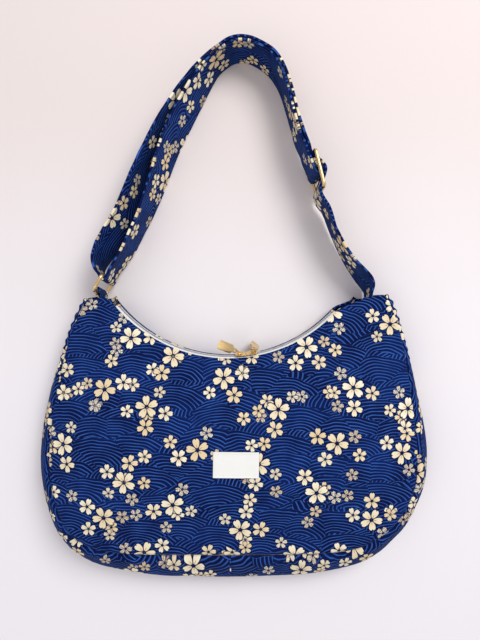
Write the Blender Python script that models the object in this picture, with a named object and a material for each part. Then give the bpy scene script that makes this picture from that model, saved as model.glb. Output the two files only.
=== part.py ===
# A crescent shoulder bag lying on its back, with its strap on edge above it.
# Metres, +Z up, +Y from the bag's bottom towards the strap's top.
import math

import bmesh
import bpy
import numpy as np
from mathutils import Vector
from mathutils.bvhtree import BVHTree

MM = 0.001
GAP = 0.0003
SEAM_GAP = 0.0005

# Half of the bag's plan as it lies, in millimetres from its middle line: from the
# corner, round the shoulder and the belly, to the middle of the bottom
half_plan = ((144.2, 155.2), (146.2, 153.5), (148.2, 150.9), (152.5, 142.5), (158.3, 130.0), (165.5, 110.0),
             (170.6, 92.0), (175.5, 74.0), (179.5, 56.0), (183.5, 36.0), (186.0, 16.0), (186.5, -2.0),
             (184.5, -22.0), (178.5, -43.0), (168.5, -65.0), (158.0, -78.5), (146.0, -89.5), (127.0, -100.0),
             (98.0, -108.0), (60.0, -112.3), (30.0, -113.6), (0.0, -114.0))
shift_top = -0.0035
shift_belly = -0.0026
shift_bottom = -0.0060
belly_from_y = 0.150
belly_reach = 0.110
bottom_from_y = -0.020
bottom_reach = 0.080
corner_lift_right = 0.0035
corner_lift_from_y = 0.125
corner_lift_reach = 0.030

# How far the two seams lie inside the plan: at the corner, the belly and the bottom
front_insets = (0.003, 0.014, 0.029)
back_insets = (0.003, 0.009, 0.011)
tongue_reach = 0.0105
tongue_share = 0.02

# Bag body, heights
mouth_height = 0.029
seam_height = 0.040
dome_height = 0.014
rim_setback = 0.008
rim_reach = 0.0052
rim_share = 0.16
corner_share = 0.04
corner_reach = 0.004
corner_bunch = 1.3
cloth_thickness = 0.0018
lining_thickness = 0.0008
lining_setback = 0.008

# Mouth and zip, turned about a vertical line through the arc's centre
mouth_radius = 0.1419
mouth_centre_x = -0.0113
mouth_left_reach = 0.11624
mouth_right_reach = 0.11968
mouth_end_y = 0.15531
mouth_centre_y = mouth_end_y + math.sqrt(mouth_radius ** 2 - mouth_left_reach ** 2)
mouth_angles = (-math.asin(mouth_left_reach / mouth_radius), math.asin(mouth_right_reach / mouth_radius))
flare = 0.0104
flare_from = mouth_angles[1] - math.radians(10.0)
tape_angles = (mouth_angles[0] + math.radians(5.0), mouth_angles[1] - math.radians(10.5))
coil_angles = (tape_angles[0] + math.radians(1.0), tape_angles[1] - math.radians(1.0))
zip_out = 0.0040
zip_drop = 0.0066
rim_below_zip = 0.0056
zip_slope = math.radians(70.0)
coil_width = 0.0016
coil_height = 0.0014
coil_split = 0.0010
tape_thickness = 0.0005
stop_length = 0.0024
tape_tuck = ((0.0044, 0.0035), (0.0031, 0.0050), (0.0027, 0.0064), (0.0024, 0.0112))  # out, below the zip
tape_under = 0.0045
tape_bend = 0.0016
tape_droop = 0.0004
stop_rise = 0.0002

# Zip sliders, their links and pull tabs
slider_length = 0.0102
slider_plate_width = 0.0084
slider_plate_thickness = 0.0009
slider_inner_width = 0.0050
slider_web = 0.0004
slider_clear = 0.0004
sliders_apart = 0.0006  # radians
bridge_length = 0.0048
bridge_width = 0.0012
bridge_band = 0.0007
bridge_clear = 0.0015
bridge_root = 0.0003
link_wire_radius = 0.0005
link_length = 0.0055
link_width = 0.0046
link_corner = 0.0018
link_play = 0.0004
pull_length = 0.0200
pull_width = 0.0095
pull_neck_width = 0.0046
pull_neck_length = 0.0024
pull_shoulder = 0.0042
pull_corner = 0.0012
pull_thickness = 0.0012
pull_hole_radius = 0.0012
left_slider_angle = math.radians(5.0)
left_link_angle = math.radians(31.0)
left_pull_angle = math.radians(28.5)
right_link_angle = math.radians(45.0)

# Label on the front panel
label_width = 0.0415
label_length = 0.0228
label_thickness = 0.0007
label_x = -0.0036
label_y = 0.0025

# Strap, ring and adjuster
strap_width = 0.038
strap_thickness = 0.0024
strap_end_width = 0.024
strap_play = 0.0001
strap_room = 0.0020
ring_inner_length = strap_width + strap_room
ring_inner_width = 0.0110
ring_wire_radius = 0.0017
frame_corner = 0.0030
ring_tab_bar = Vector((-0.1334, 0.1605, 0.0247))
ring_heading = math.radians(63.0)
ring_tilt = math.radians(5.0)
strap_wrap_heading = math.radians(-97.0)
tab_thickness = 0.0016
tab_width = 0.030
tab_end_width = 0.022
tab_leg = 0.0020
tab_slot_share = 0.29
tab_inside = 0.0030
adjuster_centre = Vector((0.0730, 0.2730, 0.0237))
adjuster_heading = math.radians(-76.0)
adjuster_inner_width = strap_width + strap_room
adjuster_length = 0.0348
adjuster_bar_radius = 0.0016

# Fineness
outline_columns = 52
even_share = 0.2
lining_trim = 3
front_rows = 6
gusset_rows = 5
back_rows = 4
rim_rows = 4
zip_steps = 36
plan_steps = 24
strap_step = 0.012


def clear_scene():
    for old in list(bpy.data.objects):
        bpy.data.objects.remove(old, do_unlink=True)


def make_material(name, colour, roughness, metallic=0.0):
    material = bpy.data.materials.new(name)
    material.use_nodes = True
    shader = material.node_tree.nodes["Principled BSDF"]
    shader.inputs["Base Color"].default_value = (*colour, 1.0)
    shader.inputs["Roughness"].default_value = roughness
    shader.inputs["Metallic"].default_value = metallic
    return material


def add_object(name, bm, material, origin=None):
    bmesh.ops.recalc_face_normals(bm, faces=bm.faces)
    mesh = bpy.data.meshes.new(name)
    bm.to_mesh(mesh)
    bm.free()
    item = bpy.data.objects.new(name, mesh)
    bpy.context.scene.collection.objects.link(item)
    item.data.materials.append(material)
    if origin is not None:
        for vertex in mesh.vertices:
            vertex.co -= Vector(origin)
        item.location = Vector(origin)
    return item


def bm_from_layers(outer, inner):
    """A closed sheet between two grids of points of the same size."""
    rows, columns = len(outer), len(outer[0])
    bm = bmesh.new()
    top = [[bm.verts.new(point) for point in row] for row in outer]
    low = [[bm.verts.new(point) for point in row] for row in inner]
    for i in range(rows - 1):
        for j in range(columns - 1):
            for grid in (top, low):
                bm.faces.new((grid[i][j], grid[i + 1][j], grid[i + 1][j + 1]))
                bm.faces.new((grid[i][j], grid[i + 1][j + 1], grid[i][j + 1]))
    border = [(0, j) for j in range(columns)]
    border += [(i, columns - 1) for i in range(1, rows)]
    border += [(rows - 1, j) for j in range(columns - 2, -1, -1)]
    border += [(i, 0) for i in range(rows - 2, 0, -1)]
    for k, (i, j) in enumerate(border):
        m, n = border[(k + 1) % len(border)]
        bm.faces.new((top[i][j], top[m][n], low[m][n], low[i][j]))
    return bm


def bm_from_rings(rings, closed):
    """A tube through rings of points, either closed on itself or capped."""
    bm = bmesh.new()
    loops = [[bm.verts.new(point) for point in ring] for ring in rings]
    sides = len(loops[0])
    pairs = list(zip(loops, loops[1:]))
    if closed:
        pairs.append((loops[-1], loops[0]))
    for first, second in pairs:
        for k in range(sides):
            n = (k + 1) % sides
            bm.faces.new((first[k], first[n], second[n], second[k]))
    if not closed:
        bm.faces.new(loops[0])
        bm.faces.new(loops[-1])
    return bm


def ease(value):
    value = min(max(value, 0.0), 1.0)
    return value * value * (3.0 - 2.0 * value)


def body_shift(y):
    """How far the bag's middle line lies to the left at a height in the plan."""
    return (shift_top + shift_belly * ease((belly_from_y - y) / belly_reach)
            + shift_bottom * ease((bottom_from_y - y) / bottom_reach))


def curve_through(points, steps):
    """A smooth line through a few points."""
    last = len(points) - 1
    line = []
    for k in range(last):
        a, b, c, d = (np.array(points[min(max(k + j, 0), last)]) for j in (-1, 0, 1, 2))
        for t in np.linspace(0.0, 1.0, steps, endpoint=False):
            line.append(0.5 * (2 * b + (c - a) * t + (2 * a - 5 * b + 4 * c - d) * t * t
                               + (3 * b - a - 3 * c + d) * t ** 3))
    line.append(np.array(points[last]))
    return np.array(line)


def plan_points(count):
    """The bag's plan from the left corner, under the bag, to the right one, evenly spaced."""
    left = [(-x * MM, y * MM) for x, y in half_plan]
    right = [(x * MM, y * MM) for x, y in half_plan[-2::-1]]
    raw = curve_through(left + right, plan_steps)
    raw[:, 0] += [body_shift(y) for y in raw[:, 1]]
    raw[:, 1] += [corner_lift_right * ease((y - corner_lift_from_y) / corner_lift_reach) * (x > 0.0)
                  for x, y in raw]
    lengths = np.concatenate(([0.0], np.cumsum(np.hypot(*np.diff(raw, axis=0).T))))
    wanted = np.linspace(0.0, lengths[-1], count)
    return np.column_stack([np.interp(wanted, lengths, raw[:, k]) for k in (0, 1)])


def inset_at(insets, across):
    """A seam's distance inside the plan."""
    side = min(across, 1.0 - across)
    corner, belly, bottom = insets
    return corner + (belly - corner) * ease(side / 0.2) + (bottom - belly) * ease((side - 0.22) / 0.25)


class BagSurface:
    """The bag's outer skin: across is 0 to 1 from the left corner to the right,
    down is 0 to 1 on the front, 1 to 2 on the gusset and 2 to 3 on the back."""

    fine = 901

    def __init__(self):
        self.stops = np.linspace(0.0, 1.0, self.fine)
        plan = plan_points(self.fine)
        tangent = np.gradient(plan, axis=0)
        tangent /= np.linalg.norm(tangent, axis=1)[:, None]
        self.outward = np.column_stack((tangent[:, 1], -tangent[:, 0]))
        if self.outward[self.fine // 2, 1] > 0.0:
            self.outward = -self.outward
        self.front = plan - self.outward * np.array([inset_at(front_insets, s) for s in self.stops])[:, None]
        self.back = plan - self.outward * np.array([inset_at(back_insets, s) for s in self.stops])[:, None]
        self.make_grid()

    def read(self, table, across):
        return np.array([np.interp(across, self.stops, table[:, k]) for k in (0, 1)])

    @staticmethod
    def mouth_angle(across):
        return mouth_angles[0] + (mouth_angles[1] - mouth_angles[0]) * across

    def point(self, across, down):
        across = min(max(across, 0.0), 1.0)
        seam_front = self.read(self.front, across)
        seam_back = self.read(self.back, across)
        belly = ease(1.6 * min(across, 1.0 - across) / 0.5)
        seam_z = mouth_height + (seam_height - mouth_height) * belly
        if down <= 1.0:
            mouth = self.mouth_edge(across)
            plan = mouth + (seam_front - mouth) * down
            rise = math.sin(math.pi * min(max(down, 0.0), 1.0)) ** 0.8
            z = mouth_height + (seam_z - mouth_height) * down + dome_height * belly * rise
            return np.array((*plan, z))
        if down <= 2.0:
            share = down - 1.0
            bulge = (inset_at(front_insets, across) + inset_at(back_insets, across)) / 2.0
            plan = seam_front + (seam_back - seam_front) * share
            swell = math.sin(math.pi * share)
            plan = plan + self.read(self.outward, across) * bulge * swell
            if min(across, 1.0 - across) < tongue_share:
                side = round(across)
                to_slot = self.mouth_edge(side) - self.read(self.front, side)
                reach = tongue_reach * (1.0 - ease(abs(across - side) / tongue_share))
                plan = plan + to_slot / np.linalg.norm(to_slot) * reach * swell ** 5
            return np.array((*plan, seam_z * (1.0 - share)))
        share = down - 2.0
        rim_top = mouth_height - zip_drop - rim_below_zip
        open_up = ease(min(across, 1.0 - across) / corner_share)
        if share < 1.0 - rim_share:
            foot = self.mouth_edge(across, -rim_setback * open_up)
            plan = seam_back + (foot - seam_back) * share / (1.0 - rim_share)
            return np.array((*plan, 0.0))
        turn = (share - 1.0 + rim_share) / rim_share * math.pi / 2.0
        swing = math.sin(min(turn * 1.15, math.pi / 2.0))
        curved = (rim_reach + rim_setback) * swing - rim_setback
        flat = corner_reach * turn / (math.pi / 2.0)
        out = flat + (curved - flat) * open_up
        z = rim_top * (1.0 - math.cos(turn)) * open_up
        return np.array((*self.mouth_edge(across, out), z))

    @staticmethod
    def mouth_point(angle, out):
        radius = mouth_radius - out
        return np.array((mouth_centre_x + radius * math.sin(angle),
                         mouth_centre_y - radius * math.cos(angle)))

    def mouth_edge(self, across, out=0.0):
        """The panels' edge beside the zip; it leaves the arc near the right corner."""
        angle = self.mouth_angle(across)
        leave = flare * ease((angle - flare_from) / (mouth_angles[1] - flare_from))
        return self.mouth_point(angle, out - leave)

    def front_shares(self, across):
        """Rows down the front; the first lies a hem's width from the mouth."""
        length = np.linalg.norm(self.read(self.front, across) - self.mouth_edge(across))
        hem = min(lining_setback / length, 0.35)
        bunch = 1.0 + corner_bunch * (1.0 - ease(min(across, 1.0 - across) / corner_share))
        return [0.0, hem] + [hem + (1.0 - hem) * (k / front_rows) ** bunch for k in range(1, front_rows + 1)]

    @staticmethod
    def back_shares():
        flat = [2.0 + (1.0 - rim_share) * k / back_rows for k in range(1, back_rows + 1)]
        return flat + [3.0 - rim_share + rim_share * k / rim_rows for k in range(1, rim_rows + 1)]

    def make_grid(self):
        """Points and inward offsets, row by row from the mouth round to its back."""
        even = np.linspace(0.0, 1.0, outline_columns + 1)
        columns = even_share * even + (1.0 - even_share) * (0.5 - 0.5 * np.cos(math.pi * even))
        gusset = [1.0 + k / gusset_rows for k in range(1, gusset_rows + 1)]
        rows = []
        for across in columns:
            downs = self.front_shares(across) + gusset + self.back_shares()
            rows.append([self.point(across, down) for down in downs])
        self.points = np.array(rows).transpose(1, 0, 2)
        self.seam_front = front_rows + 1
        self.seam_back = self.seam_front + gusset_rows
        self.last_row = len(self.points) - 1
        self.inward = np.array([[self.offset(i, j) for j in range(len(columns))]
                                for i in range(self.last_row + 1)])

    def offset(self, i, j):
        """The way into the bag from a grid point, longer where the sheet is creased."""
        here = self.points[i, j]
        steps = []
        for k in (max(i - 1, 0), min(i + 1, self.last_row)):
            step = (self.points[k, j] - here) * (1 if k > i else -1)
            if np.linalg.norm(step) > 1e-6:
                steps.append(step / np.linalg.norm(step))
        along = sum(steps)
        half_turn = math.acos(min(1.0, np.linalg.norm(along) / len(steps)))
        across_row = self.points[i, min(j + 1, outline_columns)] - self.points[i, max(j - 1, 0)]
        normal = np.cross(across_row, along)
        return normal / np.linalg.norm(normal) / math.cos(min(half_turn, 1.0))

    def layer(self, rows, columns, depth):
        """A grid of points at one depth; its free edges stand back by half a gap."""
        block = self.points + self.inward * depth
        block = block[rows[0]:rows[1] + 1, columns[0]:columns[1] + 1].copy()
        for edge, inner in ((0, 1), (-1, -2)):
            for grid in (block, block.transpose(1, 0, 2)):
                step = grid[inner] - grid[edge]
                grid[edge] += step / np.linalg.norm(step, axis=1)[:, None] * SEAM_GAP / 2
        return [[Vector(point) for point in row] for row in block]

    def sheet(self, rows, columns, depth, thickness):
        return self.layer(rows, columns, depth), self.layer(rows, columns, depth + thickness)


def add_bag_body(surface, print_cloth, lining_cloth):
    middle, last = outline_columns // 2, outline_columns
    front, back, end = surface.seam_front, surface.seam_back, surface.last_row
    panels = (("front_panel", (0, front), (0, last)),
              ("gusset_left", (front, back), (0, middle)),
              ("gusset_right", (front, back), (middle, last)),
              ("back_panel", (back, end), (0, last)))
    for name, rows, columns in panels:
        add_object(name, bm_from_layers(*surface.sheet(rows, columns, 0.0, cloth_thickness)), print_cloth)
    trim = lining_trim
    linings = (("lining_front", (1, front), (trim, last - trim)),
               ("lining_gusset_left", (front, back), (trim, middle)),
               ("lining_gusset_right", (front, back), (middle, last - trim)),
               ("lining_back", (back, end - rim_rows // 2), (trim, last - trim)))
    for name, rows, columns in linings:
        layers = surface.sheet(rows, columns, cloth_thickness + GAP, lining_thickness)
        add_object(name, bm_from_layers(*layers), lining_cloth)


def turned_band(profile, angles):
    """A section of (outward, height) points turned about the mouth's centre."""
    rings = []
    for angle in angles:
        ring = []
        for out, z in profile:
            x, y = BagSurface.mouth_point(angle, out)
            ring.append(Vector((x, y, z)))
        rings.append(ring)
    return bm_from_rings(rings, closed=False)


def zip_section(a, b):
    """From the zip's own section, a across the tapes and b outwards, to (out, z)."""
    across = (math.cos(zip_slope), -math.sin(zip_slope))
    outward = (math.sin(zip_slope), math.cos(zip_slope))
    return (zip_out + a * across[0] + b * outward[0],
            mouth_height - zip_drop + a * across[1] + b * outward[1])


def strip_profile(points, thickness):
    """A thin section along a few (out, z) points."""
    upper, lower = [], []
    for k, point in enumerate(points):
        first = points[max(k - 1, 0)]
        last = points[min(k + 1, len(points) - 1)]
        dx, dz = last[0] - first[0], last[1] - first[1]
        size = math.hypot(dx, dz)
        nx, nz = -dz / size * thickness / 2, dx / size * thickness / 2
        upper.append((point[0] + nx, point[1] + nz))
        lower.append((point[0] - nx, point[1] - nz))
    return upper + lower[::-1]


def add_zip(tape_cloth, coil_plastic, metal):
    tape_turns = np.linspace(*tape_angles, zip_steps + 1)
    coil_turns = np.linspace(*coil_angles, zip_steps + 1)
    under_panel = mouth_height - cloth_thickness - GAP - tape_thickness / 2.0
    tape_start = coil_split / 2 + coil_width + GAP
    front = [(-tape_under, under_panel - 2 * GAP), (0.0, under_panel - tape_droop),
             (tape_bend, under_panel - 2 * GAP), zip_section(-tape_start, 0.0)]
    zip_height = mouth_height - zip_drop
    back = [zip_section(tape_start, 0.0), *((out, zip_height - below) for out, below in tape_tuck)]
    add_object("zip_tape_front", turned_band(strip_profile(front, tape_thickness), tape_turns), tape_cloth)
    add_object("zip_tape_back", turned_band(strip_profile(back, tape_thickness), tape_turns), tape_cloth)
    for name, sign in (("zip_coil_front", -1), ("zip_coil_back", 1)):
        near, far = sign * coil_split / 2, sign * (coil_split / 2 + coil_width)
        high = coil_height / 2
        profile = [zip_section(near, -high), zip_section(far, -high), zip_section(far, high),
                   zip_section(near, high)]
        add_object(name, turned_band(profile, coil_turns), coil_plastic)
    reach = coil_split / 2 + coil_width
    high = coil_height / 2 + stop_rise
    block = [zip_section(-reach, -high), zip_section(reach, -high), zip_section(reach, high),
             zip_section(-reach, high)]
    length = stop_length / mouth_radius
    for name, sign, coil_end in (("zip_stop_left", -1, coil_angles[0]),
                                 ("zip_stop_right", 1, coil_angles[1])):
        begin = coil_end + sign * GAP / mouth_radius
        angles = (begin, begin + sign * length)
        add_object(name, turned_band(block, angles), metal)


class ZipFrame:
    """The slider's own directions where the zip passes a given angle."""

    def __init__(self, angle):
        self.tangent = Vector((math.cos(angle), math.sin(angle), 0.0))
        outward = Vector((-math.sin(angle), math.cos(angle), 0.0))
        self.across = outward * math.cos(zip_slope) - Vector((0, 0, math.sin(zip_slope)))
        self.outward = outward * math.sin(zip_slope) + Vector((0, 0, math.cos(zip_slope)))
        x, y = BagSurface.mouth_point(angle, zip_out)
        self.origin = Vector((x, y, mouth_height - zip_drop))

    def place(self, x, a, b):
        return self.origin + self.tangent * x + self.across * a + self.outward * b


def prism(outline, low, high, place):
    """An outline of (u, v) points between two heights, put in place by a function."""
    bm = bmesh.new()
    first = [bm.verts.new(place(u, v, low)) for u, v in outline]
    second = [bm.verts.new(place(u, v, high)) for u, v in outline]
    count = len(outline)
    for k in range(count):
        n = (k + 1) % count
        bm.faces.new((first[k], first[n], second[n], second[k]))
    bm.faces.new(first)
    bm.faces.new(second)
    return bm


def cut_or_join(base, other_bm, operation):
    """A Boolean with a helper that is left out afterwards."""
    bmesh.ops.recalc_face_normals(other_bm, faces=other_bm.faces)
    mesh = bpy.data.meshes.new("helper")
    other_bm.to_mesh(mesh)
    other_bm.free()
    helper = bpy.data.objects.new(base.name + "_helper_" + str(len(base.modifiers)), mesh)
    bpy.context.scene.collection.objects.link(helper)
    helper.hide_render = True
    helper.display_type = "WIRE"
    modifier = base.modifiers.new(operation.lower(), "BOOLEAN")
    modifier.operation = operation
    modifier.solver = "EXACT"
    modifier.object = helper


def bridge_levels():
    low = coil_height / 2 + slider_clear + slider_plate_thickness
    return low, low + bridge_clear, low + bridge_clear + bridge_band


def link_pivot():
    low, under, top = bridge_levels()
    return (low + under) / 2.0


def add_slider(name, angle, metal):
    frame = ZipFrame(angle)
    half_plate, half_inner = slider_plate_width / 2, slider_inner_width / 2
    near = coil_height / 2 + slider_clear
    far = near + slider_plate_thickness
    web = slider_web / 2
    section = [(-half_plate, near), (-web, near), (-web, -near), (-half_inner - GAP, -near),
               (-half_inner - GAP, -far), (half_inner - 2 * GAP, -far), (half_inner - 2 * GAP, -near),
               (web, -near), (web, near), (half_plate, near), (half_plate, far), (-half_plate, far)]
    half = slider_length / 2
    body = prism(section, -half, half, lambda a, b, x: frame.place(x, a, b))
    item = add_object(name, body, metal)
    low, under, top = bridge_levels()
    span = bridge_length / 2
    foot = low - bridge_root
    arch = [(-span, foot), (-span + bridge_band, foot), (-span + bridge_band, under),
            (span - bridge_band, under), (span - bridge_band, foot), (span, foot),
            (span, top), (-span, top)]
    helper = prism(arch, -bridge_width / 2, bridge_width / 2, lambda x, b, a: frame.place(x, a, b))
    cut_or_join(item, helper, "UNION")
    return frame


def rounded_loop(length, width, radius, corner_steps):
    """Points and directions round a rectangle with rounded corners."""
    points = []
    for cx, cy, start in ((1, 1, 0.0), (-1, 1, 0.5), (-1, -1, 1.0), (1, -1, 1.5)):
        for k in range(corner_steps + 1):
            angle = math.pi * (start + 0.5 * k / corner_steps)
            points.append((cx * (length / 2 - radius) + radius * math.cos(angle),
                           cy * (width / 2 - radius) + radius * math.sin(angle)))
    return points


def wire_loop(points, wire_radius, sides, place):
    """A round wire along a closed loop of flat points."""
    rings = []
    count = len(points)
    for k, (u, v) in enumerate(points):
        before, after = points[k - 1], points[(k + 1) % count]
        direction = Vector((after[0] - before[0], after[1] - before[1])).normalized()
        normal = Vector((direction.y, -direction.x))
        ring = []
        for s in range(sides):
            turn = 2 * math.pi * (s + 0.5) / sides
            out = wire_radius * math.cos(turn)
            ring.append(place(u + normal.x * out, v + normal.y * out, wire_radius * math.sin(turn)))
        rings.append(ring)
    return bm_from_rings(rings, closed=True)


def add_link(name, frame, direction, metal):
    """An oval wire loop hanging from the slider's bridge."""
    pivot = frame.place(0.0, 0.0, link_pivot())
    side = frame.across
    normal = direction.cross(side)
    loop = rounded_loop(link_length, link_width - 2 * link_wire_radius, link_corner, 2)

    def place(u, v, w):
        return pivot + direction * (u + link_length / 2) + side * v + normal * w

    loop_bm = wire_loop(loop, link_wire_radius, 6, place)
    bmesh.ops.triangulate(loop_bm, faces=loop_bm.faces)
    add_object(name, loop_bm, metal, origin=pivot)
    return pivot


def pull_outline():
    """A flat tab: a round eye end, a short neck and a wider plate with soft corners."""
    eye = pull_neck_width / 2
    points = []
    for k in range(7):
        angle = math.pi * (0.5 + k / 6.0)
        points.append((eye * math.cos(angle), eye * math.sin(angle)))
    tip, half = pull_length - eye, pull_width / 2
    neck, shoulder, corner = pull_neck_length, pull_shoulder, pull_corner
    points += [(neck, -eye), (shoulder, -half), (tip - corner, -half), (tip, -half + corner),
               (tip, half - corner), (tip - corner, half), (shoulder, half), (neck, eye)]
    return points


def add_pull(name, hole_centre, direction, side, metal):
    """The flat tab, with its hole round the link's wire."""
    normal = direction.cross(side).normalized()

    def place(u, v, w):
        return hole_centre + direction * u + side * v + normal * w

    half = pull_thickness / 2
    item = add_object(name, prism(pull_outline(), -half, half, place), metal, origin=hole_centre)
    circle = []
    for k in range(10):
        angle = 2 * math.pi * k / 10
        circle.append((pull_hole_radius * math.cos(angle), pull_hole_radius * math.sin(angle)))
    cut_or_join(item, prism(circle, -pull_thickness, pull_thickness, place), "DIFFERENCE")


def right_slider_angle():
    return left_slider_angle + (slider_length + GAP) / (mouth_radius - zip_out) + sliders_apart


def lowest_direction(axis):
    """The way a piece hangs when it can only turn about this axis."""
    down = Vector((0, 0, -1))
    return (down - axis * down.dot(axis)).normalized()


def add_pulls(metal):
    left = add_slider("zip_slider_left", left_slider_angle, metal)
    reach = math.cos(left_link_angle) * -left.tangent + math.sin(left_link_angle) * left.outward
    pivot = add_link("zip_link_left", left, reach, metal)
    tab = math.cos(left_pull_angle) * -left.tangent + math.sin(left_pull_angle) * left.outward
    rest = left.across * (link_width / 2 - 2 * link_wire_radius - pull_thickness / 2 - GAP)
    add_pull("zip_pull_left", pivot + reach * link_length + rest, tab, tab.cross(left.across), metal)

    right = add_slider("zip_slider_right", right_slider_angle(), metal)
    reach = math.cos(right_link_angle) * right.tangent + math.sin(right_link_angle) * right.outward
    pivot = add_link("zip_link_right", right, reach, metal)
    rail = link_width / 2 - link_wire_radius
    along = link_length - link_wire_radius - GAP - pull_thickness / 2 - link_play
    hang = lowest_direction(reach)
    add_pull("zip_pull_right", pivot + reach * along + right.across * rail, hang, hang.cross(reach), metal)


def add_label(panel, cloth):
    """A small cloth label that follows the front panel."""
    skin = BVHTree.FromObject(panel, bpy.context.evaluated_depsgraph_get())
    outer, inner = [], []
    for v in np.linspace(-0.5, 0.5, 4):
        outer_row, inner_row = [], []
        for u in np.linspace(-0.5, 0.5, 5):
            x, y = label_x + u * label_width, label_y + v * label_length
            foot = skin.ray_cast(Vector((x, y, 1.0)), Vector((0, 0, -1)))[0]
            inner_row.append(foot + Vector((0, 0, GAP)))
            outer_row.append(foot + Vector((0, 0, GAP + label_thickness)))
        outer.append(outer_row)
        inner.append(inner_row)
    add_object("label", bm_from_layers(outer, inner), cloth)


class RingFrame:
    """The ring's directions: up its long bars, and from the tab's bar to the strap's."""

    def __init__(self):
        heading = Vector((math.cos(ring_heading), math.sin(ring_heading), 0.0))
        up = Vector((0, 0, 1))
        self.up = up * math.cos(ring_tilt) + heading * math.sin(ring_tilt)
        self.reach = heading * math.cos(ring_tilt) - up * math.sin(ring_tilt)
        self.side = self.reach.cross(self.up)
        self.pitch = ring_inner_width + 2 * ring_wire_radius
        self.tab_bar = ring_tab_bar
        self.strap_bar = ring_tab_bar + self.reach * self.pitch


def add_ring(frame, metal):
    middle = (frame.tab_bar + frame.strap_bar) / 2
    length = ring_inner_length + 2 * ring_wire_radius
    loop = rounded_loop(length, frame.pitch, frame_corner, 3)

    def place(u, v, w):
        return middle + frame.up * u + frame.reach * v + frame.side * w

    add_object("strap_ring", wire_loop(loop, ring_wire_radius, 8, place), metal, origin=frame.tab_bar)


def add_ring_tab(frame, surface, cloth):
    """The cloth loop that holds the ring, sewn in the bag's left corner."""
    panel_corner, mouth_end = surface.read(surface.front, 0.0), surface.mouth_edge(0.0)
    inner = ring_wire_radius + GAP
    middle = inner + tab_thickness / 2
    slot = mouth_end + (panel_corner - mouth_end) * tab_slot_share
    start = Vector((slot[0], slot[1] - tab_inside, mouth_height / 2))
    away = frame.tab_bar - start
    away = (away - frame.up * away.dot(frame.up)).normalized()
    side = away.cross(frame.up)
    path = []
    for k in range(9):
        turn = math.pi * k / 8
        path.append(frame.tab_bar + (side * math.cos(turn) + away * math.sin(turn)) * middle)
    apart = tab_thickness / 2 + GAP / 2
    flat_side = Vector((side.x, side.y, 0.0)).normalized()
    leg = (start, start + away * tab_leg)
    route = [point + flat_side * apart for point in leg] + path
    route += [point - flat_side * apart for point in leg[::-1]]
    rings = []
    for k, point in enumerate(route):
        before, after = route[max(k - 1, 0)], route[min(k + 1, len(route) - 1)]
        direction = (after - before).normalized()
        at_corner = k < len(leg) or k >= len(route) - len(leg)
        upward, width = (Vector((0, 0, 1)), tab_end_width) if at_corner else (frame.up, tab_width)
        wide = upward * width / 2
        thick = direction.cross(wide.normalized()).normalized() * tab_thickness / 2
        rings.append([point + wide + thick, point - wide + thick,
                      point - wide - thick, point + wide - thick])
    add_object("ring_tab", bm_from_rings(rings, closed=False), cloth)


class AdjusterFrame:
    """The adjuster's directions: along the strap, out of the strap's loop, and up."""

    def __init__(self):
        self.along = Vector((math.cos(adjuster_heading), math.sin(adjuster_heading), 0.0))
        self.up = Vector((0, 0, 1))
        self.out = self.up.cross(self.along)
        self.centre = adjuster_centre

    def place(self, along, out, up=0.0):
        return self.centre + self.along * along + self.out * out + self.up * up


def add_adjuster(frame, metal):
    radius = adjuster_bar_radius
    loop = rounded_loop(adjuster_inner_width + 2 * radius, adjuster_length, frame_corner, 3)

    def place(u, v, w):
        return frame.place(v, w, u)

    item = add_object("strap_adjuster", wire_loop(loop, radius, 8, place), metal, origin=frame.centre)
    octagon = []
    for k in range(8):
        turn = 2 * math.pi * (k + 0.5) / 8
        octagon.append((radius * 0.96 * math.cos(turn), radius * 0.96 * math.sin(turn)))
    reach = adjuster_inner_width / 2 + radius
    bar = prism(octagon, -reach, reach, lambda along, out, up: frame.place(along, out, up))
    cut_or_join(item, bar, "UNION")


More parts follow.
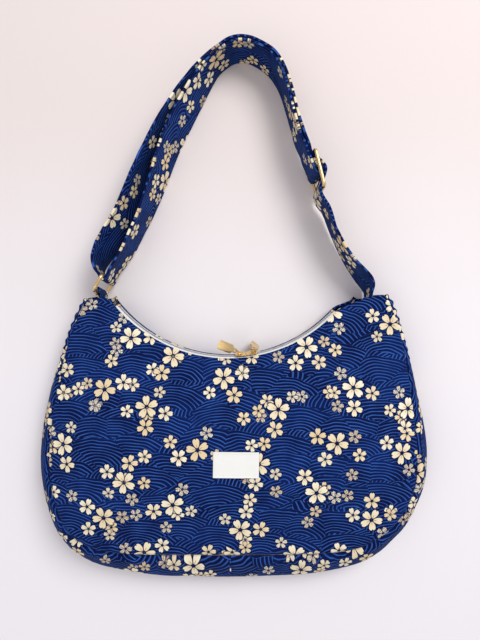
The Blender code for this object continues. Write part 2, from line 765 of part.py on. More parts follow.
# The strap's route, in millimetres: x, y and height of the middle of the ribbon,
# and how far its upper edge leans from its lower edge in x and y.
route_corner = ((124.6, 153.0, 14.6, 0.0, 0.0), (125.0, 159.5, 15.2, 1.5, -0.5),
                (124.4, 165.0, 16.8, 4.5, 1.5), (122.6, 169.0, 18.2, 6.0, 2.5),
                (119.3, 173.6, 19.3, 5.8, 3.0), (114.6, 179.2, 19.8, 4.0, 2.0),
                (106.2, 189.5, 20.3, 1.0, 1.0), (97.9, 203.0, 20.9, -1.0, 0.5),
                (89.6, 220.0, 22.0, -2.0, 0.0), (82.8, 238.0, 23.2, -1.0, 0.0))
route_outer = ((59.6, 306.6, 23.0, 0.0, 0.0), (55.2, 321.8, 22.0, 0.0, 0.0),
               (51.4, 336.4, 21.0, 0.0, 0.0), (47.8, 350.4, 20.2, 0.5, 0.5),
               (43.4, 363.6, 19.6, 1.0, 1.0), (37.3, 375.4, 19.4, 1.5, 1.5),
               (30.6, 383.6, 19.3, 1.5, 2.0), (20.6, 390.8, 19.3, 1.0, 2.0),
               (10.0, 395.6, 19.3, 0.5, 2.0), (0.0, 396.9, 19.3, 0.0, 2.0),
               (-9.5, 394.8, 19.3, -0.7, 2.2), (-20.0, 388.0, 19.3, -1.6, 2.6),
               (-29.5, 379.0, 19.3, -3.5, 3.8), (-40.4, 366.6, 19.2, -6.0, 5.0),
               (-53.6, 350.0, 19.1, -7.0, 4.8), (-64.0, 334.6, 19.1, -7.5, 4.4),
               (-74.0, 318.0, 19.1, -8.0, 4.2), (-84.0, 299.0, 19.1, -8.4, 4.0),
               (-94.0, 278.0, 19.2, -8.4, 4.0), (-102.1, 255.1, 18.8, -12.0, 5.8),
               (-110.4, 233.3, 18.5, -15.0, 7.2), (-119.8, 216.6, 19.3, -15.0, 7.2),
               (-128.3, 203.0, 20.8, -11.4, 5.8), (-133.9, 191.4, 22.3, -6.2, 4.0),
               (-135.4, 182.4, 23.3, 0.4, 2.8))
route_inner = ((-119.6, 181.5, 23.2, 0.6, 2.4), (-113.2, 191.0, 22.4, -1.0, 2.4),
               (-105.0, 205.8, 21.4, -2.4, 2.2), (-97.4, 222.8, 20.4, -3.6, 2.2),
               (-89.6, 241.2, 19.6, -6.0, 2.8), (-81.0, 263.0, 19.2, -8.6, 3.2),
               (-73.8, 286.0, 19.0, -10.6, 4.0), (-65.2, 308.4, 18.9, -11.6, 5.0),
               (-53.4, 333.0, 18.9, -12.0, 6.6), (-42.6, 352.6, 18.9, -10.0, 6.6),
               (-33.6, 367.4, 19.1, -6.4, 5.2), (-25.2, 378.2, 19.2, -2.6, 2.8),
               (-17.8, 385.3, 19.2, -1.6, 2.4), (-8.4, 391.5, 19.2, -0.6, 2.2),
               (0.0, 393.6, 19.2, 0.0, 2.0), (9.2, 392.4, 19.2, 0.5, 2.0),
               (19.0, 387.9, 19.2, 1.0, 2.0), (28.4, 381.2, 19.3, 1.5, 2.0),
               (34.6, 373.5, 19.4, 1.5, 1.5), (40.4, 362.4, 19.6, 1.0, 1.0),
               (44.7, 349.5, 20.2, 0.5, 0.5), (48.2, 335.5, 21.0, 0.0, 0.0),
               (52.0, 320.9, 22.0, 0.0, 0.0), (56.2, 305.6, 23.0, 0.0, 0.0))

# Through the adjuster, in millimetres: along the strap, out of its loop
pass_outer = ((24.0, -3.2), (17.4, -3.3), (12.0, -0.2), (8.0, 2.5), (4.4, 4.8), (0.0, 6.2),
              (-4.4, 4.8), (-8.0, 2.7), (-12.0, 0.2), (-17.4, -3.3), (-24.0, -3.4))
pass_inner = ((-24.0, -6.4), (-17.4, -6.3), (-12.0, -5.2), (-8.0, -4.7), (-4.0, -4.5), (-0.4, -3.9),
              (2.5, -2.6), (3.5, 0.0), (2.5, 2.4), (0.0, 3.3), (-2.4, 2.5), (-3.8, 0.6),
              (-6.0, -1.2), (-8.6, -1.9), (-10.6, -2.3))


def strap_stations(ring, adjuster):
    """Every chosen point of the strap, in order: place, upward direction and width."""
    stations = []

    def from_route(rows):
        for x, y, z, lean_x, lean_y in rows:
            rise = math.sqrt((strap_width / MM) ** 2 - lean_x ** 2 - lean_y ** 2)
            up = Vector((lean_x, lean_y, rise)).normalized()
            stations.append([Vector((x, y, z)) * MM, up, strap_width])

    def from_adjuster(rows):
        for along, out in rows:
            stations.append([adjuster.place(along * MM, out * MM), adjuster.up, strap_width])

    from_route(route_corner)
    for k, share in enumerate((0.0, 0.0, 0.5, 0.72, 0.9)):
        stations[k][2] = strap_end_width + (strap_width - strap_end_width) * share
    from_adjuster(pass_outer)
    from_route(route_outer)
    wrap = ring_wire_radius + GAP + strap_play + strap_thickness / 2
    heading = Vector((math.cos(strap_wrap_heading), math.sin(strap_wrap_heading), 0.0))
    heading = (heading - ring.up * heading.dot(ring.up)).normalized()
    beside = ring.up.cross(heading)
    for k in range(7):
        turn = math.pi * (k / 3 - 1) * 0.5
        around = heading * math.cos(turn) + beside * math.sin(turn)
        stations.append([ring.strap_bar + around * wrap, ring.up, strap_width])
    from_route(route_inner)
    from_adjuster(pass_inner)
    return stations


def smooth_route(stations, longest):
    """A smooth curve through the stations, finer where it turns."""
    count = len(stations)
    result = []
    for k in range(count - 1):
        p = [stations[min(max(k + j, 0), count - 1)][0] for j in (-1, 0, 1, 2)]
        (_, up_a, wide_a), (_, up_b, wide_b) = stations[k], stations[k + 1]
        before, here, after = p[1] - p[0], p[2] - p[1], p[3] - p[2]
        turn = max(before.angle(here, 0.0), here.angle(after, 0.0))
        steps = max(1, math.ceil(turn / math.radians(24)), math.ceil(here.length / longest))
        chord = here.length
        start = (p[2] - p[0]) * chord / max(before.length + chord, 1e-9)
        end = (p[3] - p[1]) * chord / max(after.length + chord, 1e-9)
        for s in range(steps):
            t = s / steps
            h = (2 * t ** 3 - 3 * t ** 2 + 1, t ** 3 - 2 * t ** 2 + t,
                 3 * t ** 2 - 2 * t ** 3, t ** 3 - t ** 2)
            place = p[1] * h[0] + start * h[1] + p[2] * h[2] + end * h[3]
            result.append((place, up_a.lerp(up_b, t).normalized(), wide_a + (wide_b - wide_a) * t))
    result.append(tuple(stations[-1]))
    return result


def add_strap(ring, adjuster, cloth):
    route = smooth_route(strap_stations(ring, adjuster), strap_step)
    rings = []
    for k, (place, up, width) in enumerate(route):
        direction = route[min(k + 1, len(route) - 1)][0] - route[max(k - 1, 0)][0]
        thick = direction.cross(up).normalized() * strap_thickness / 2
        wide = up * width / 2
        rings.append([place + wide + thick, place - wide + thick,
                      place - wide - thick, place + wide - thick])
    add_object("strap", bm_from_rings(rings, closed=False), cloth)


def main():
    clear_scene()
    print_cloth = make_material("printed_cotton", (0.013, 0.035, 0.16), 0.8)
    lining_cloth = make_material("lining_cotton", (0.55, 0.50, 0.42), 0.85)
    white_tape = make_material("white_tape", (0.86, 0.86, 0.85), 0.7)
    coil_plastic = make_material("coil_plastic", (0.78, 0.78, 0.77), 0.4)
    label_cloth = make_material("label_cloth", (0.88, 0.87, 0.84), 0.75)
    gold_metal = make_material("gold_metal", (0.80, 0.62, 0.34), 0.28, 1.0)
    surface = BagSurface()
    add_bag_body(surface, print_cloth, lining_cloth)
    add_zip(white_tape, coil_plastic, gold_metal)
    add_pulls(gold_metal)
    add_label(bpy.data.objects["front_panel"], label_cloth)
    ring = RingFrame()
    adjuster = AdjusterFrame()
    add_ring(ring, gold_metal)
    add_ring_tab(ring, surface, print_cloth)
    add_adjuster(adjuster, gold_metal)
    add_strap(ring, adjuster, print_cloth)


main()
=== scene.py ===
# Crescent shoulder bag in printed cotton, lying on its back with the strap on edge above it.
import math

import bmesh
import bpy
import numpy as np
from mathutils import Matrix, Vector, noise
from mathutils.bvhtree import BVHTree


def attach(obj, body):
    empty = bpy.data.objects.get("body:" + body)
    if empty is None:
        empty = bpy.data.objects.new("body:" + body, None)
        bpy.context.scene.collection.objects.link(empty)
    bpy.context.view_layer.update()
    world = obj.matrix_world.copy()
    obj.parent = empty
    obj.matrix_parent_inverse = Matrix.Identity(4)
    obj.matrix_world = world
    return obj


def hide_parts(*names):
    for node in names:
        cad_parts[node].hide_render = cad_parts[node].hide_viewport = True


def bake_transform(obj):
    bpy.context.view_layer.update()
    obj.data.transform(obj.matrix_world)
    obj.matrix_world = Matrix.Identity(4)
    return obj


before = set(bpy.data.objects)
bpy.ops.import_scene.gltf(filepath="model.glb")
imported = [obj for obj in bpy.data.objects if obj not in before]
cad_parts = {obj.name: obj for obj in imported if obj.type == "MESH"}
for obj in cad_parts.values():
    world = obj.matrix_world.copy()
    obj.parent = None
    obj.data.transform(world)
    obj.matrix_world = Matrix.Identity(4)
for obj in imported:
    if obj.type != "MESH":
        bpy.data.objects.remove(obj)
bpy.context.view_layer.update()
mm = 0.001


# camera
cameraSetup = {
    "place": (0.0, 0.1336, 0.483),
    "lens": 27.0,
}


def addCamera():
    data = bpy.data.cameras.new("photoCamera")
    data.lens = cameraSetup["lens"]
    data.sensor_width = 36.0
    data.clip_start = 0.01
    camera = bpy.data.objects.new("photoCamera", data)
    camera.location = cameraSetup["place"]
    bpy.context.scene.collection.objects.link(camera)
    bpy.context.scene.camera = camera


addCamera()
print("camera set")


# Node helpers
def newMaterial(name):
    material = bpy.data.materials.new(name)
    material.use_nodes = True
    return material, material.node_tree


def addNode(tree, kind, **settings):
    node = tree.nodes.new(kind)
    for key, value in settings.items():
        setattr(node, key, value)
    return node


def plug(tree, target, value):
    if isinstance(value, bpy.types.NodeSocket):
        tree.links.new(value, target)
    elif value is not None:
        target.default_value = value


def calc(tree, operation, a, b=None, c=None, clamp=False):
    node = addNode(tree, "ShaderNodeMath", operation=operation, use_clamp=clamp)
    for socket, value in zip(node.inputs, (a, b, c)):
        plug(tree, socket, value)
    return node.outputs[0]


def times(tree, a, b, clamp=False):
    return calc(tree, "MULTIPLY", a, b, clamp=clamp)


def plus(tree, a, b):
    return calc(tree, "ADD", a, b)


def minus(tree, a, b):
    return calc(tree, "SUBTRACT", a, b)


def calcVector(tree, operation, a, b=None, scale=None):
    node = addNode(tree, "ShaderNodeVectorMath", operation=operation)
    plug(tree, node.inputs[0], a)
    plug(tree, node.inputs[1], b)
    if scale is not None:
        plug(tree, node.inputs["Scale"], scale)
    return node.outputs["Value"] if operation in ("LENGTH", "DISTANCE") else node.outputs["Vector"]


def mixColour(tree, factor, a, b, blend="MIX"):
    node = addNode(tree, "ShaderNodeMix", data_type="RGBA", blend_type=blend)
    plug(tree, node.inputs["Factor"], factor)
    plug(tree, node.inputs["A"], a)
    plug(tree, node.inputs["B"], b)
    return node.outputs["Result"]


def rampBetween(tree, value, low, high, smooth=True):
    node = addNode(tree, "ShaderNodeMapRange", interpolation_type="SMOOTHSTEP" if smooth else "LINEAR")
    plug(tree, node.inputs["Value"], value)
    node.inputs["From Min"].default_value = low
    node.inputs["From Max"].default_value = high
    return node.outputs["Result"]


def noiseAt(tree, vector, scale, detail=2.0, roughness=0.5, distortion=0.0):
    node = addNode(tree, "ShaderNodeTexNoise")
    plug(tree, node.inputs["Vector"], vector)
    node.inputs["Scale"].default_value = scale
    node.inputs["Detail"].default_value = detail
    node.inputs["Roughness"].default_value = roughness
    node.inputs["Distortion"].default_value = distortion
    return node.outputs["Fac"], node.outputs["Color"]


def mapped(tree, vector, location=(0, 0, 0), turn=0.0, scale=(1, 1, 1)):
    node = addNode(tree, "ShaderNodeMapping")
    plug(tree, node.inputs["Vector"], vector)
    node.inputs["Location"].default_value = location
    node.inputs["Rotation"].default_value = (0, 0, turn)
    node.inputs["Scale"].default_value = scale
    return node.outputs["Vector"]


def grainBump(tree, height, strength, distance, before=None):
    node = addNode(tree, "ShaderNodeBump")
    plug(tree, node.inputs["Height"], height)
    node.inputs["Strength"].default_value = strength
    node.inputs["Distance"].default_value = distance
    if before is not None:
        tree.links.new(before, node.inputs["Normal"])
    return node.outputs["Normal"]


def groupTree(name, inputs, outputs):
    tree = bpy.data.node_groups.new(name, "ShaderNodeTree")
    for label, kind in inputs:
        tree.interface.new_socket(label, in_out="INPUT", socket_type=kind)
    for label, kind in outputs:
        tree.interface.new_socket(label, in_out="OUTPUT", socket_type=kind)
    return tree, tree.nodes.new("NodeGroupInput"), tree.nodes.new("NodeGroupOutput")


# printed cotton
printSetup = {
    "clusterCell": 0.057, "clusterSpread": 0.34, "clusterTurn": 0.42,
    "singleCell": 0.031, "singleSpread": 0.60,
    "fanCell": 0.024, "fanSpread": 0.85, "linePitch": 0.0024,
    # size, how far the arcs' middle lies below, turn, shift, reach and line spacing of each layer
    "fans": ((1.60, 1.00, 0.95, 0.013, 1.62, 1.40), (1.25, 0.92, -0.75, 0.031, 1.36, 1.00),
             (1.0, 0.86, 0.16, 0.077, 1.22, 1.20)),
    # turn, shift, share of cells, radius and how grey
    "singles": ((0.9, 0.21, 0.36, 0.0066, 0.0), (0.25, 0.47, 0.32, 0.0060, 1.0)),
    "darkNavy": (0.0006, 0.0040, 0.044, 1), "deepBlue": (0.0016, 0.0110, 0.085, 1),
    "waveBlue": (0.036, 0.120, 0.44, 1),
    "cream": (0.90, 0.84, 0.64, 1), "gold": (0.74, 0.56, 0.31, 1), "mauve": (0.20, 0.17, 0.20, 1),
    "weavePitch": 0.00055,
}

# place in the cluster, radius, spin and how grey, in metres from the cluster's middle
clusterBlossoms = (
    ((0.0000, 0.0000), 0.0107, 0.3, 0.0),
    ((0.0172, -0.0080), 0.0080, 1.1, 0.0),
    ((0.0125, 0.0138), 0.0072, 2.0, 0.15),
    ((-0.0082, 0.0160), 0.0058, 0.7, 0.5),
    ((-0.0172, -0.0046), 0.0064, 2.6, 1.0),
    ((-0.0036, -0.0186), 0.0062, 1.9, 0.1),
)


def makeBlossomGroup():
    tree, given, wanted = groupTree("blossom", [("Vector", "NodeSocketVector"), ("Spin", "NodeSocketFloat")],
                                    [("Petal", "NodeSocketFloat"), ("Halo", "NodeSocketFloat"),
                                     ("Shade", "NodeSocketFloat")])
    split = addNode(tree, "ShaderNodeSeparateXYZ")
    tree.links.new(given.outputs["Vector"], split.inputs[0])
    x, y = split.outputs[0], split.outputs[1]
    radius = calc(tree, "SQRT", plus(tree, times(tree, x, x), times(tree, y, y)))
    angle = plus(tree, calc(tree, "ARCTAN2", y, x), given.outputs["Spin"])
    turns = calc(tree, "FRACT", plus(tree, times(tree, angle, 5.0 / (2.0 * math.pi)), 5.0))
    local = times(tree, minus(tree, turns, 0.5), 2.0 * math.pi / 5.0)
    along = times(tree, radius, calc(tree, "COSINE", local))
    aside = calc(tree, "ABSOLUTE", times(tree, radius, calc(tree, "SINE", local)))
    reach = calc(tree, "DIVIDE", minus(tree, along, 0.59), 0.41)
    width = plus(tree, times(tree, along, 0.20), 0.155)
    side = calc(tree, "DIVIDE", aside, width)
    form = plus(tree, calc(tree, "POWER", calc(tree, "ABSOLUTE", reach), 2.4),
                calc(tree, "POWER", side, 2.2))
    notch = times(tree, rampBetween(tree, aside, 0.085, 0.0), rampBetween(tree, along, 0.80, 0.98))
    form = plus(tree, form, times(tree, notch, 0.9))
    petal = rampBetween(tree, form, 1.10, 0.92)
    vein = times(tree, rampBetween(tree, aside, 0.030, 0.012), rampBetween(tree, along, 0.52, 0.40))
    petal = times(tree, petal, minus(tree, 1.0, times(tree, vein, 0.65)))
    tree.links.new(petal, wanted.inputs["Petal"])
    tree.links.new(rampBetween(tree, form, 2.3, 1.5), wanted.inputs["Halo"])
    tree.links.new(rampBetween(tree, radius, 0.1, 0.95), wanted.inputs["Shade"])
    return tree


def cellsAt(tree, placed, spread):
    cells = addNode(tree, "ShaderNodeTexVoronoi", voronoi_dimensions="2D", feature="F1")
    tree.links.new(placed, cells.inputs["Vector"])
    cells.inputs["Scale"].default_value = 1.0
    cells.inputs["Randomness"].default_value = spread
    return cells


def fromCell(tree, placed, cells, size):
    return calcVector(tree, "SCALE", calcVector(tree, "SUBTRACT", placed, cells.outputs["Position"]), scale=size)


def makePrintGroup():
    setup = printSetup
    blossom = makeBlossomGroup()
    tree, given, wanted = groupTree("printedCloth", [("Cloth", "NodeSocketVector")],
                                    [("Color", "NodeSocketColor"), ("Blossom", "NodeSocketFloat"),
                                     ("Weave", "NodeSocketFloat")])
    cloth = given.outputs["Cloth"]
    wobble = calcVector(tree, "SUBTRACT", noiseAt(tree, cloth, 45.0, 1.0)[1], (0.5, 0.5, 0.5))
    drawn = calcVector(tree, "ADD", cloth, calcVector(tree, "SCALE", wobble, scale=0.006))

    # fans of arcs, each layer over the one before
    lines = None
    pitch = setup["linePitch"]
    split = addNode(tree, "ShaderNodeSeparateXYZ")
    tree.links.new(drawn, split.inputs[0])
    sweep = times(tree, noiseAt(tree, mapped(tree, cloth, scale=(24.0, 24.0, 1.0)), 1.0, 1.0)[0], 0.030)
    sweepLine = calc(tree, "SINE", times(tree, plus(tree, split.outputs[1], sweep),
                                        2.0 * math.pi / pitch))
    lines = rampBetween(tree, sweepLine, 0.10, 0.90)
    blot = noiseAt(tree, cloth, 70.0, 2.0)[0]
    for cell, low, turn, shift, limit, wide in setup["fans"]:
        size = setup["fanCell"] * cell
        placed = mapped(tree, drawn, location=(shift / size, shift * 0.6 / size, 0), turn=turn,
                        scale=(0.66 / size, 1.0 / size, 1.0))
        cells = cellsAt(tree, placed, setup["fanSpread"])
        lowered = calcVector(tree, "ADD", cells.outputs["Position"], (0.0, -low, 0.0))
        away = calcVector(tree, "DISTANCE", placed, lowered)
        rings = calc(tree, "SINE", times(tree, away, 2.0 * math.pi * size / (pitch * wide)))
        fan = rampBetween(tree, plus(tree, rings, blot), 0.85, 1.45)
        inside = rampBetween(tree, away, limit + 0.008, limit - 0.008)
        lines = plus(tree, times(tree, fan, inside),
                     times(tree, lines, minus(tree, 1.0, inside)))
    patches = noiseAt(tree, cloth, 26.0, 2.0)[0]
    ground = mixColour(tree, rampBetween(tree, patches, 0.35, 0.70), setup["darkNavy"], setup["deepBlue"])
    strength = times(tree, lines, plus(tree, 0.36,
                    times(tree, noiseAt(tree, cloth, 60.0, 2.0)[0], 0.75)))
    colour = mixColour(tree, strength, ground, setup["waveBlue"])

    covered = None
    fleck = noiseAt(tree, cloth, 900.0, 2.0, 0.7)[0]

    def addBlossom(colour, covered, local, radius, spin, grey, keep, tone):
        node = addNode(tree, "ShaderNodeGroup")
        node.node_tree = blossom
        tree.links.new(calcVector(tree, "SCALE", local, scale=1.0 / radius), node.inputs["Vector"])
        plug(tree, node.inputs["Spin"], spin)
        halo, petal = node.outputs["Halo"], node.outputs["Petal"]
        if keep is not None:
            halo, petal = times(tree, halo, keep), times(tree, petal, keep)
        warm = mixColour(tree, times(tree, tone, 0.85, clamp=True), setup["cream"], setup["gold"])
        shaded = mixColour(tree, times(tree, minus(tree, 1.0, node.outputs["Shade"]), 0.55),
                           warm, setup["gold"])
        greyed = mixColour(tree, rampBetween(tree, fleck, 0.38, 0.62), setup["mauve"], warm)
        shaded = mixColour(tree, grey, shaded, greyed)
        colour = mixColour(tree, times(tree, halo, 0.85), colour, setup["darkNavy"])
        colour = mixColour(tree, petal, colour, shaded)
        covered = petal if covered is None else calc(tree, "MAXIMUM", covered, petal)
        return colour, covered

    # single blossoms first, then the clusters over them
    for turn, shift, share, radius, grey in setup["singles"]:
        size = setup["singleCell"]
        placed = mapped(tree, cloth, location=(shift, shift * 1.7, 0), turn=turn,
                        scale=(1.0 / size, 1.0 / size, 1.0))
        cells = cellsAt(tree, placed, setup["singleSpread"])
        dice = addNode(tree, "ShaderNodeSeparateColor")
        tree.links.new(cells.outputs["Color"], dice.inputs[0])
        local = fromCell(tree, placed, cells, size)
        keep = calc(tree, "LESS_THAN", dice.outputs[0], share)
        spin = times(tree, dice.outputs[1], 6.28)
        colour, covered = addBlossom(colour, covered, local, radius, spin, grey, keep, dice.outputs[2])

    size = setup["clusterCell"]
    placed = mapped(tree, cloth, location=(0.31, 0.77, 0), turn=setup["clusterTurn"],
                    scale=(1.0 / size, 1.0 / size, 1.0))
    cells = cellsAt(tree, placed, setup["clusterSpread"])
    dice = addNode(tree, "ShaderNodeSeparateColor")
    tree.links.new(cells.outputs["Color"], dice.inputs[0])
    local = fromCell(tree, placed, cells, size)
    turner = addNode(tree, "ShaderNodeVectorRotate", rotation_type="Z_AXIS")
    tree.links.new(local, turner.inputs["Vector"])
    tree.links.new(times(tree, dice.outputs[0], 6.28), turner.inputs["Angle"])
    turned = turner.outputs["Vector"]
    for number, (place, radius, spin, grey) in enumerate(clusterBlossoms):
        fromMiddle = calcVector(tree, "SUBTRACT", turned, (*place, 0.0))
        luck = calc(tree, "FRACT", plus(tree, times(tree, dice.outputs[1], 7.3), number * 0.37))
        keep = None if number < 2 else calc(tree, "GREATER_THAN", luck, 0.30)
        tone = calc(tree, "FRACT", plus(tree, times(tree, dice.outputs[2], 3.7), number * 0.29))
        colour, covered = addBlossom(colour, covered, fromMiddle, radius, spin, grey, keep,
                                     calc(tree, "POWER", tone, 1.6))

    # plain weave
    weave = mapped(tree, cloth, scale=(1.0 / setup["weavePitch"],) * 3)
    split = addNode(tree, "ShaderNodeSeparateXYZ")
    tree.links.new(weave, split.inputs[0])
    warp = calc(tree, "SINE", times(tree, split.outputs[0], 2.0 * math.pi))
    weft = calc(tree, "SINE", times(tree, split.outputs[1], 2.0 * math.pi))
    threads = times(tree, warp, weft)
    colour = mixColour(tree, times(tree, plus(tree, threads, 1.0), 0.06), colour,
                       (0.002, 0.005, 0.030, 1))
    tree.links.new(colour, wanted.inputs["Color"])
    tree.links.new(covered, wanted.inputs["Blossom"])
    tree.links.new(threads, wanted.inputs["Weave"])
    return tree


printGroup = makePrintGroup()


def printedCotton(name, stitches=None):
    material, tree = newMaterial(name)
    shader = tree.nodes["Principled BSDF"]
    cloth = addNode(tree, "ShaderNodeUVMap", uv_map="cloth").outputs["UV"]
    pattern = addNode(tree, "ShaderNodeGroup")
    pattern.node_tree = printGroup
    tree.links.new(cloth, pattern.inputs["Cloth"])
    colour = pattern.outputs["Color"]
    slub = noiseAt(tree, mapped(tree, cloth, scale=(500.0, 2600.0, 1.0)), 1.0, 2.0)[0]
    height = plus(tree, times(tree, pattern.outputs["Weave"], 0.5), slub)
    bump = grainBump(tree, height, 0.35, 0.00015)
    if stitches:
        split = addNode(tree, "ShaderNodeSeparateXYZ")
        tree.links.new(cloth, split.inputs[0])
        fromMiddle = calc(tree, "ABSOLUTE", minus(tree, split.outputs[1], stitches["middle"]))
        fromRow = calc(tree, "ABSOLUTE", minus(tree, fromMiddle, stitches["rowAt"]))
        onRow = rampBetween(tree, fromRow, 0.00045, 0.00015)
        groove = rampBetween(tree, fromRow, 0.0016, 0.0)
        beat = calc(tree, "PINGPONG", split.outputs[0], stitches["pitch"] / 2)
        thread = times(tree, onRow, rampBetween(tree, beat, 0.0003, 0.0005))
        colour = mixColour(tree, times(tree, thread, 0.75), colour, (0.012, 0.030, 0.16, 1))
        dip = minus(tree, times(tree, thread, 0.6), groove)
        bump = grainBump(tree, dip, 0.9, 0.0006, bump)
    tree.links.new(colour, shader.inputs["Base Color"])
    rough = minus(tree, 0.82, times(tree, pattern.outputs["Blossom"], 0.22))
    tree.links.new(rough, shader.inputs["Roughness"])
    tree.links.new(bump, shader.inputs["Normal"])
    shader.inputs["Sheen Weight"].default_value = 0.01
    shader.inputs["Sheen Roughness"].default_value = 0.4
    shader.inputs["Specular IOR Level"].default_value = 0.08
    return material


def plainCloth(name, colour, pitch, twill=False, objectSpace=False):
    material, tree = newMaterial(name)
    shader = tree.nodes["Principled BSDF"]
    if objectSpace:
        cloth = addNode(tree, "ShaderNodeTexCoord").outputs["Object"]
    else:
        cloth = addNode(tree, "ShaderNodeUVMap", uv_map="cloth").outputs["UV"]
    split = addNode(tree, "ShaderNodeSeparateXYZ")
    tree.links.new(mapped(tree, cloth, scale=(1.0 / pitch,) * 3), split.inputs[0])
    across = calc(tree, "SINE", times(tree, split.outputs[0], 2.0 * math.pi))
    along = calc(tree, "SINE", times(tree, split.outputs[1], 2.0 * math.pi))
    if twill:
        height = calc(tree, "SINE", times(tree, plus(tree, split.outputs[0], split.outputs[1]),
                                         2.0 * math.pi))
    else:
        height = times(tree, across, along)
    fuzz = noiseAt(tree, cloth, 1400.0, 3.0)[0]
    tint = noiseAt(tree, cloth, 35.0, 3.0)[0]
    darker = tuple(c * 0.86 for c in colour)
    base = mixColour(tree, times(tree, tint, 0.6), (*colour, 1), (*darker, 1))
    base = mixColour(tree, times(tree, minus(tree, 1.0, height), 0.06), base, (*darker, 1))
    tree.links.new(base, shader.inputs["Base Color"])
    bump = grainBump(tree, plus(tree, height, fuzz), 0.30, 0.00012)
    tree.links.new(bump, shader.inputs["Normal"])
    shader.inputs["Roughness"].default_value = 0.8
    shader.inputs["Specular IOR Level"].default_value = 0.25
    return material


def polishedGold(name):
    material, tree = newMaterial(name)
    shader = tree.nodes["Principled BSDF"]
    place = addNode(tree, "ShaderNodeTexCoord").outputs["Object"]
    cloudy = noiseAt(tree, place, 220.0, 3.0)[0]
    brushed = noiseAt(tree, mapped(tree, place, scale=(2500.0, 300.0, 2500.0)), 1.0, 2.0)[0]
    colour = mixColour(tree, cloudy, (0.83, 0.62, 0.30, 1), (0.74, 0.52, 0.24, 1))
    tree.links.new(colour, shader.inputs["Base Color"])
    tree.links.new(plus(tree, 0.20, times(tree, cloudy, 0.14)), shader.inputs["Roughness"])
    tree.links.new(grainBump(tree, brushed, 0.06, 0.00005), shader.inputs["Normal"])
    shader.inputs["Metallic"].default_value = 1.0
    return material


def mouldedCoil(name):
    material, tree = newMaterial(name)
    shader = tree.nodes["Principled BSDF"]
    place = addNode(tree, "ShaderNodeTexCoord").outputs["Object"]
    cloudy = noiseAt(tree, place, 400.0, 2.0)[0]
    colour = mixColour(tree, cloudy, (0.72, 0.72, 0.71, 1), (0.60, 0.60, 0.60, 1))
    tree.links.new(colour, shader.inputs["Base Color"])
    tree.links.new(plus(tree, 0.30, times(tree, cloudy, 0.15)), shader.inputs["Roughness"])
    return material


strapSetup = {
    "ringLeaves": (-0.124, 0.215, 0.020), "ringHolds": (-0.133, 0.190, 0.020),
    "width": 0.038, "endWidth": 0.024, "thickness": 0.0023, "step": 0.003, "rowsAcross": 12,
    "stitchIn": 0.0028, "stitchPitch": 0.0034,
}

panelPrint = printedCotton("printedCotton")
halfStrap = 0.5 * strapSetup["width"]
strapPrint = printedCotton("strapCotton", {"middle": halfStrap, "pitch": strapSetup["stitchPitch"],
                                           "rowAt": halfStrap - strapSetup["stitchIn"]})
liningCloth = plainCloth("liningCotton", (0.55, 0.50, 0.42), 0.0006, objectSpace=True)
tapeCloth = plainCloth("zipTape", (0.84, 0.84, 0.83), 0.0007, twill=True)
labelCloth = plainCloth("labelCloth", (0.84, 0.835, 0.79), 0.0005)
goldMetal = polishedGold("paleGold")
coilPlastic = mouldedCoil("zipCoil")
print("materials made")


# Mesh helpers
def finishMesh(name, bm, material, body, replaces=(), smooth=True):
    mesh = bpy.data.meshes.new(name)
    bm.to_mesh(mesh)
    bm.free()
    if smooth:
        mesh.shade_smooth()
    piece = bpy.data.objects.new(name, mesh)
    bpy.context.scene.collection.objects.link(piece)
    mesh.materials.append(material)
    if body:
        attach(piece, body)
    if replaces:
        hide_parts(*replaces)
    return piece


def clothGrid(columns, rows, place, lay, lift=None, flip=False):
    bm = bmesh.new()
    bmesh.ops.create_grid(bm, x_segments=columns, y_segments=rows, size=0.5)
    spots = {vertex: (vertex.co.x + 0.5, vertex.co.y + 0.5) for vertex in bm.verts}
    layer = bm.loops.layers.uv.new("cloth")
    for face in bm.faces:
        for loop in face.loops:
            loop[layer].uv = lay(*spots[loop.vert])
    for vertex, (s, t) in spots.items():
        vertex.co = place(s, t)
    if flip:
        bmesh.ops.reverse_faces(bm, faces=bm.faces)
    bm.normal_update()
    if lift:
        moves = {vertex: vertex.normal * lift(s, t, vertex.co) for vertex, (s, t) in spots.items()}
        for vertex, move in moves.items():
            vertex.co += move
        bm.normal_update()
    return bm


def thicken(piece, thickness, offset, rim=0.0005):
    solid = piece.modifiers.new("thickness", "SOLIDIFY")
    solid.thickness = thickness
    solid.offset = offset
    if rim:
        bevel = piece.modifiers.new("softEdges", "BEVEL")
        bevel.width = rim
        bevel.segments = 2
        bevel.limit_method = "ANGLE"
        bevel.angle_limit = math.radians(60)
    return piece


def ease(value):
    value = min(max(value, 0.0), 1.0)
    return value * value * (3.0 - 2.0 * value)


def waver(x, y, size, seed=0.0):
    return noise.noise(Vector((x / size, y / size, seed)))


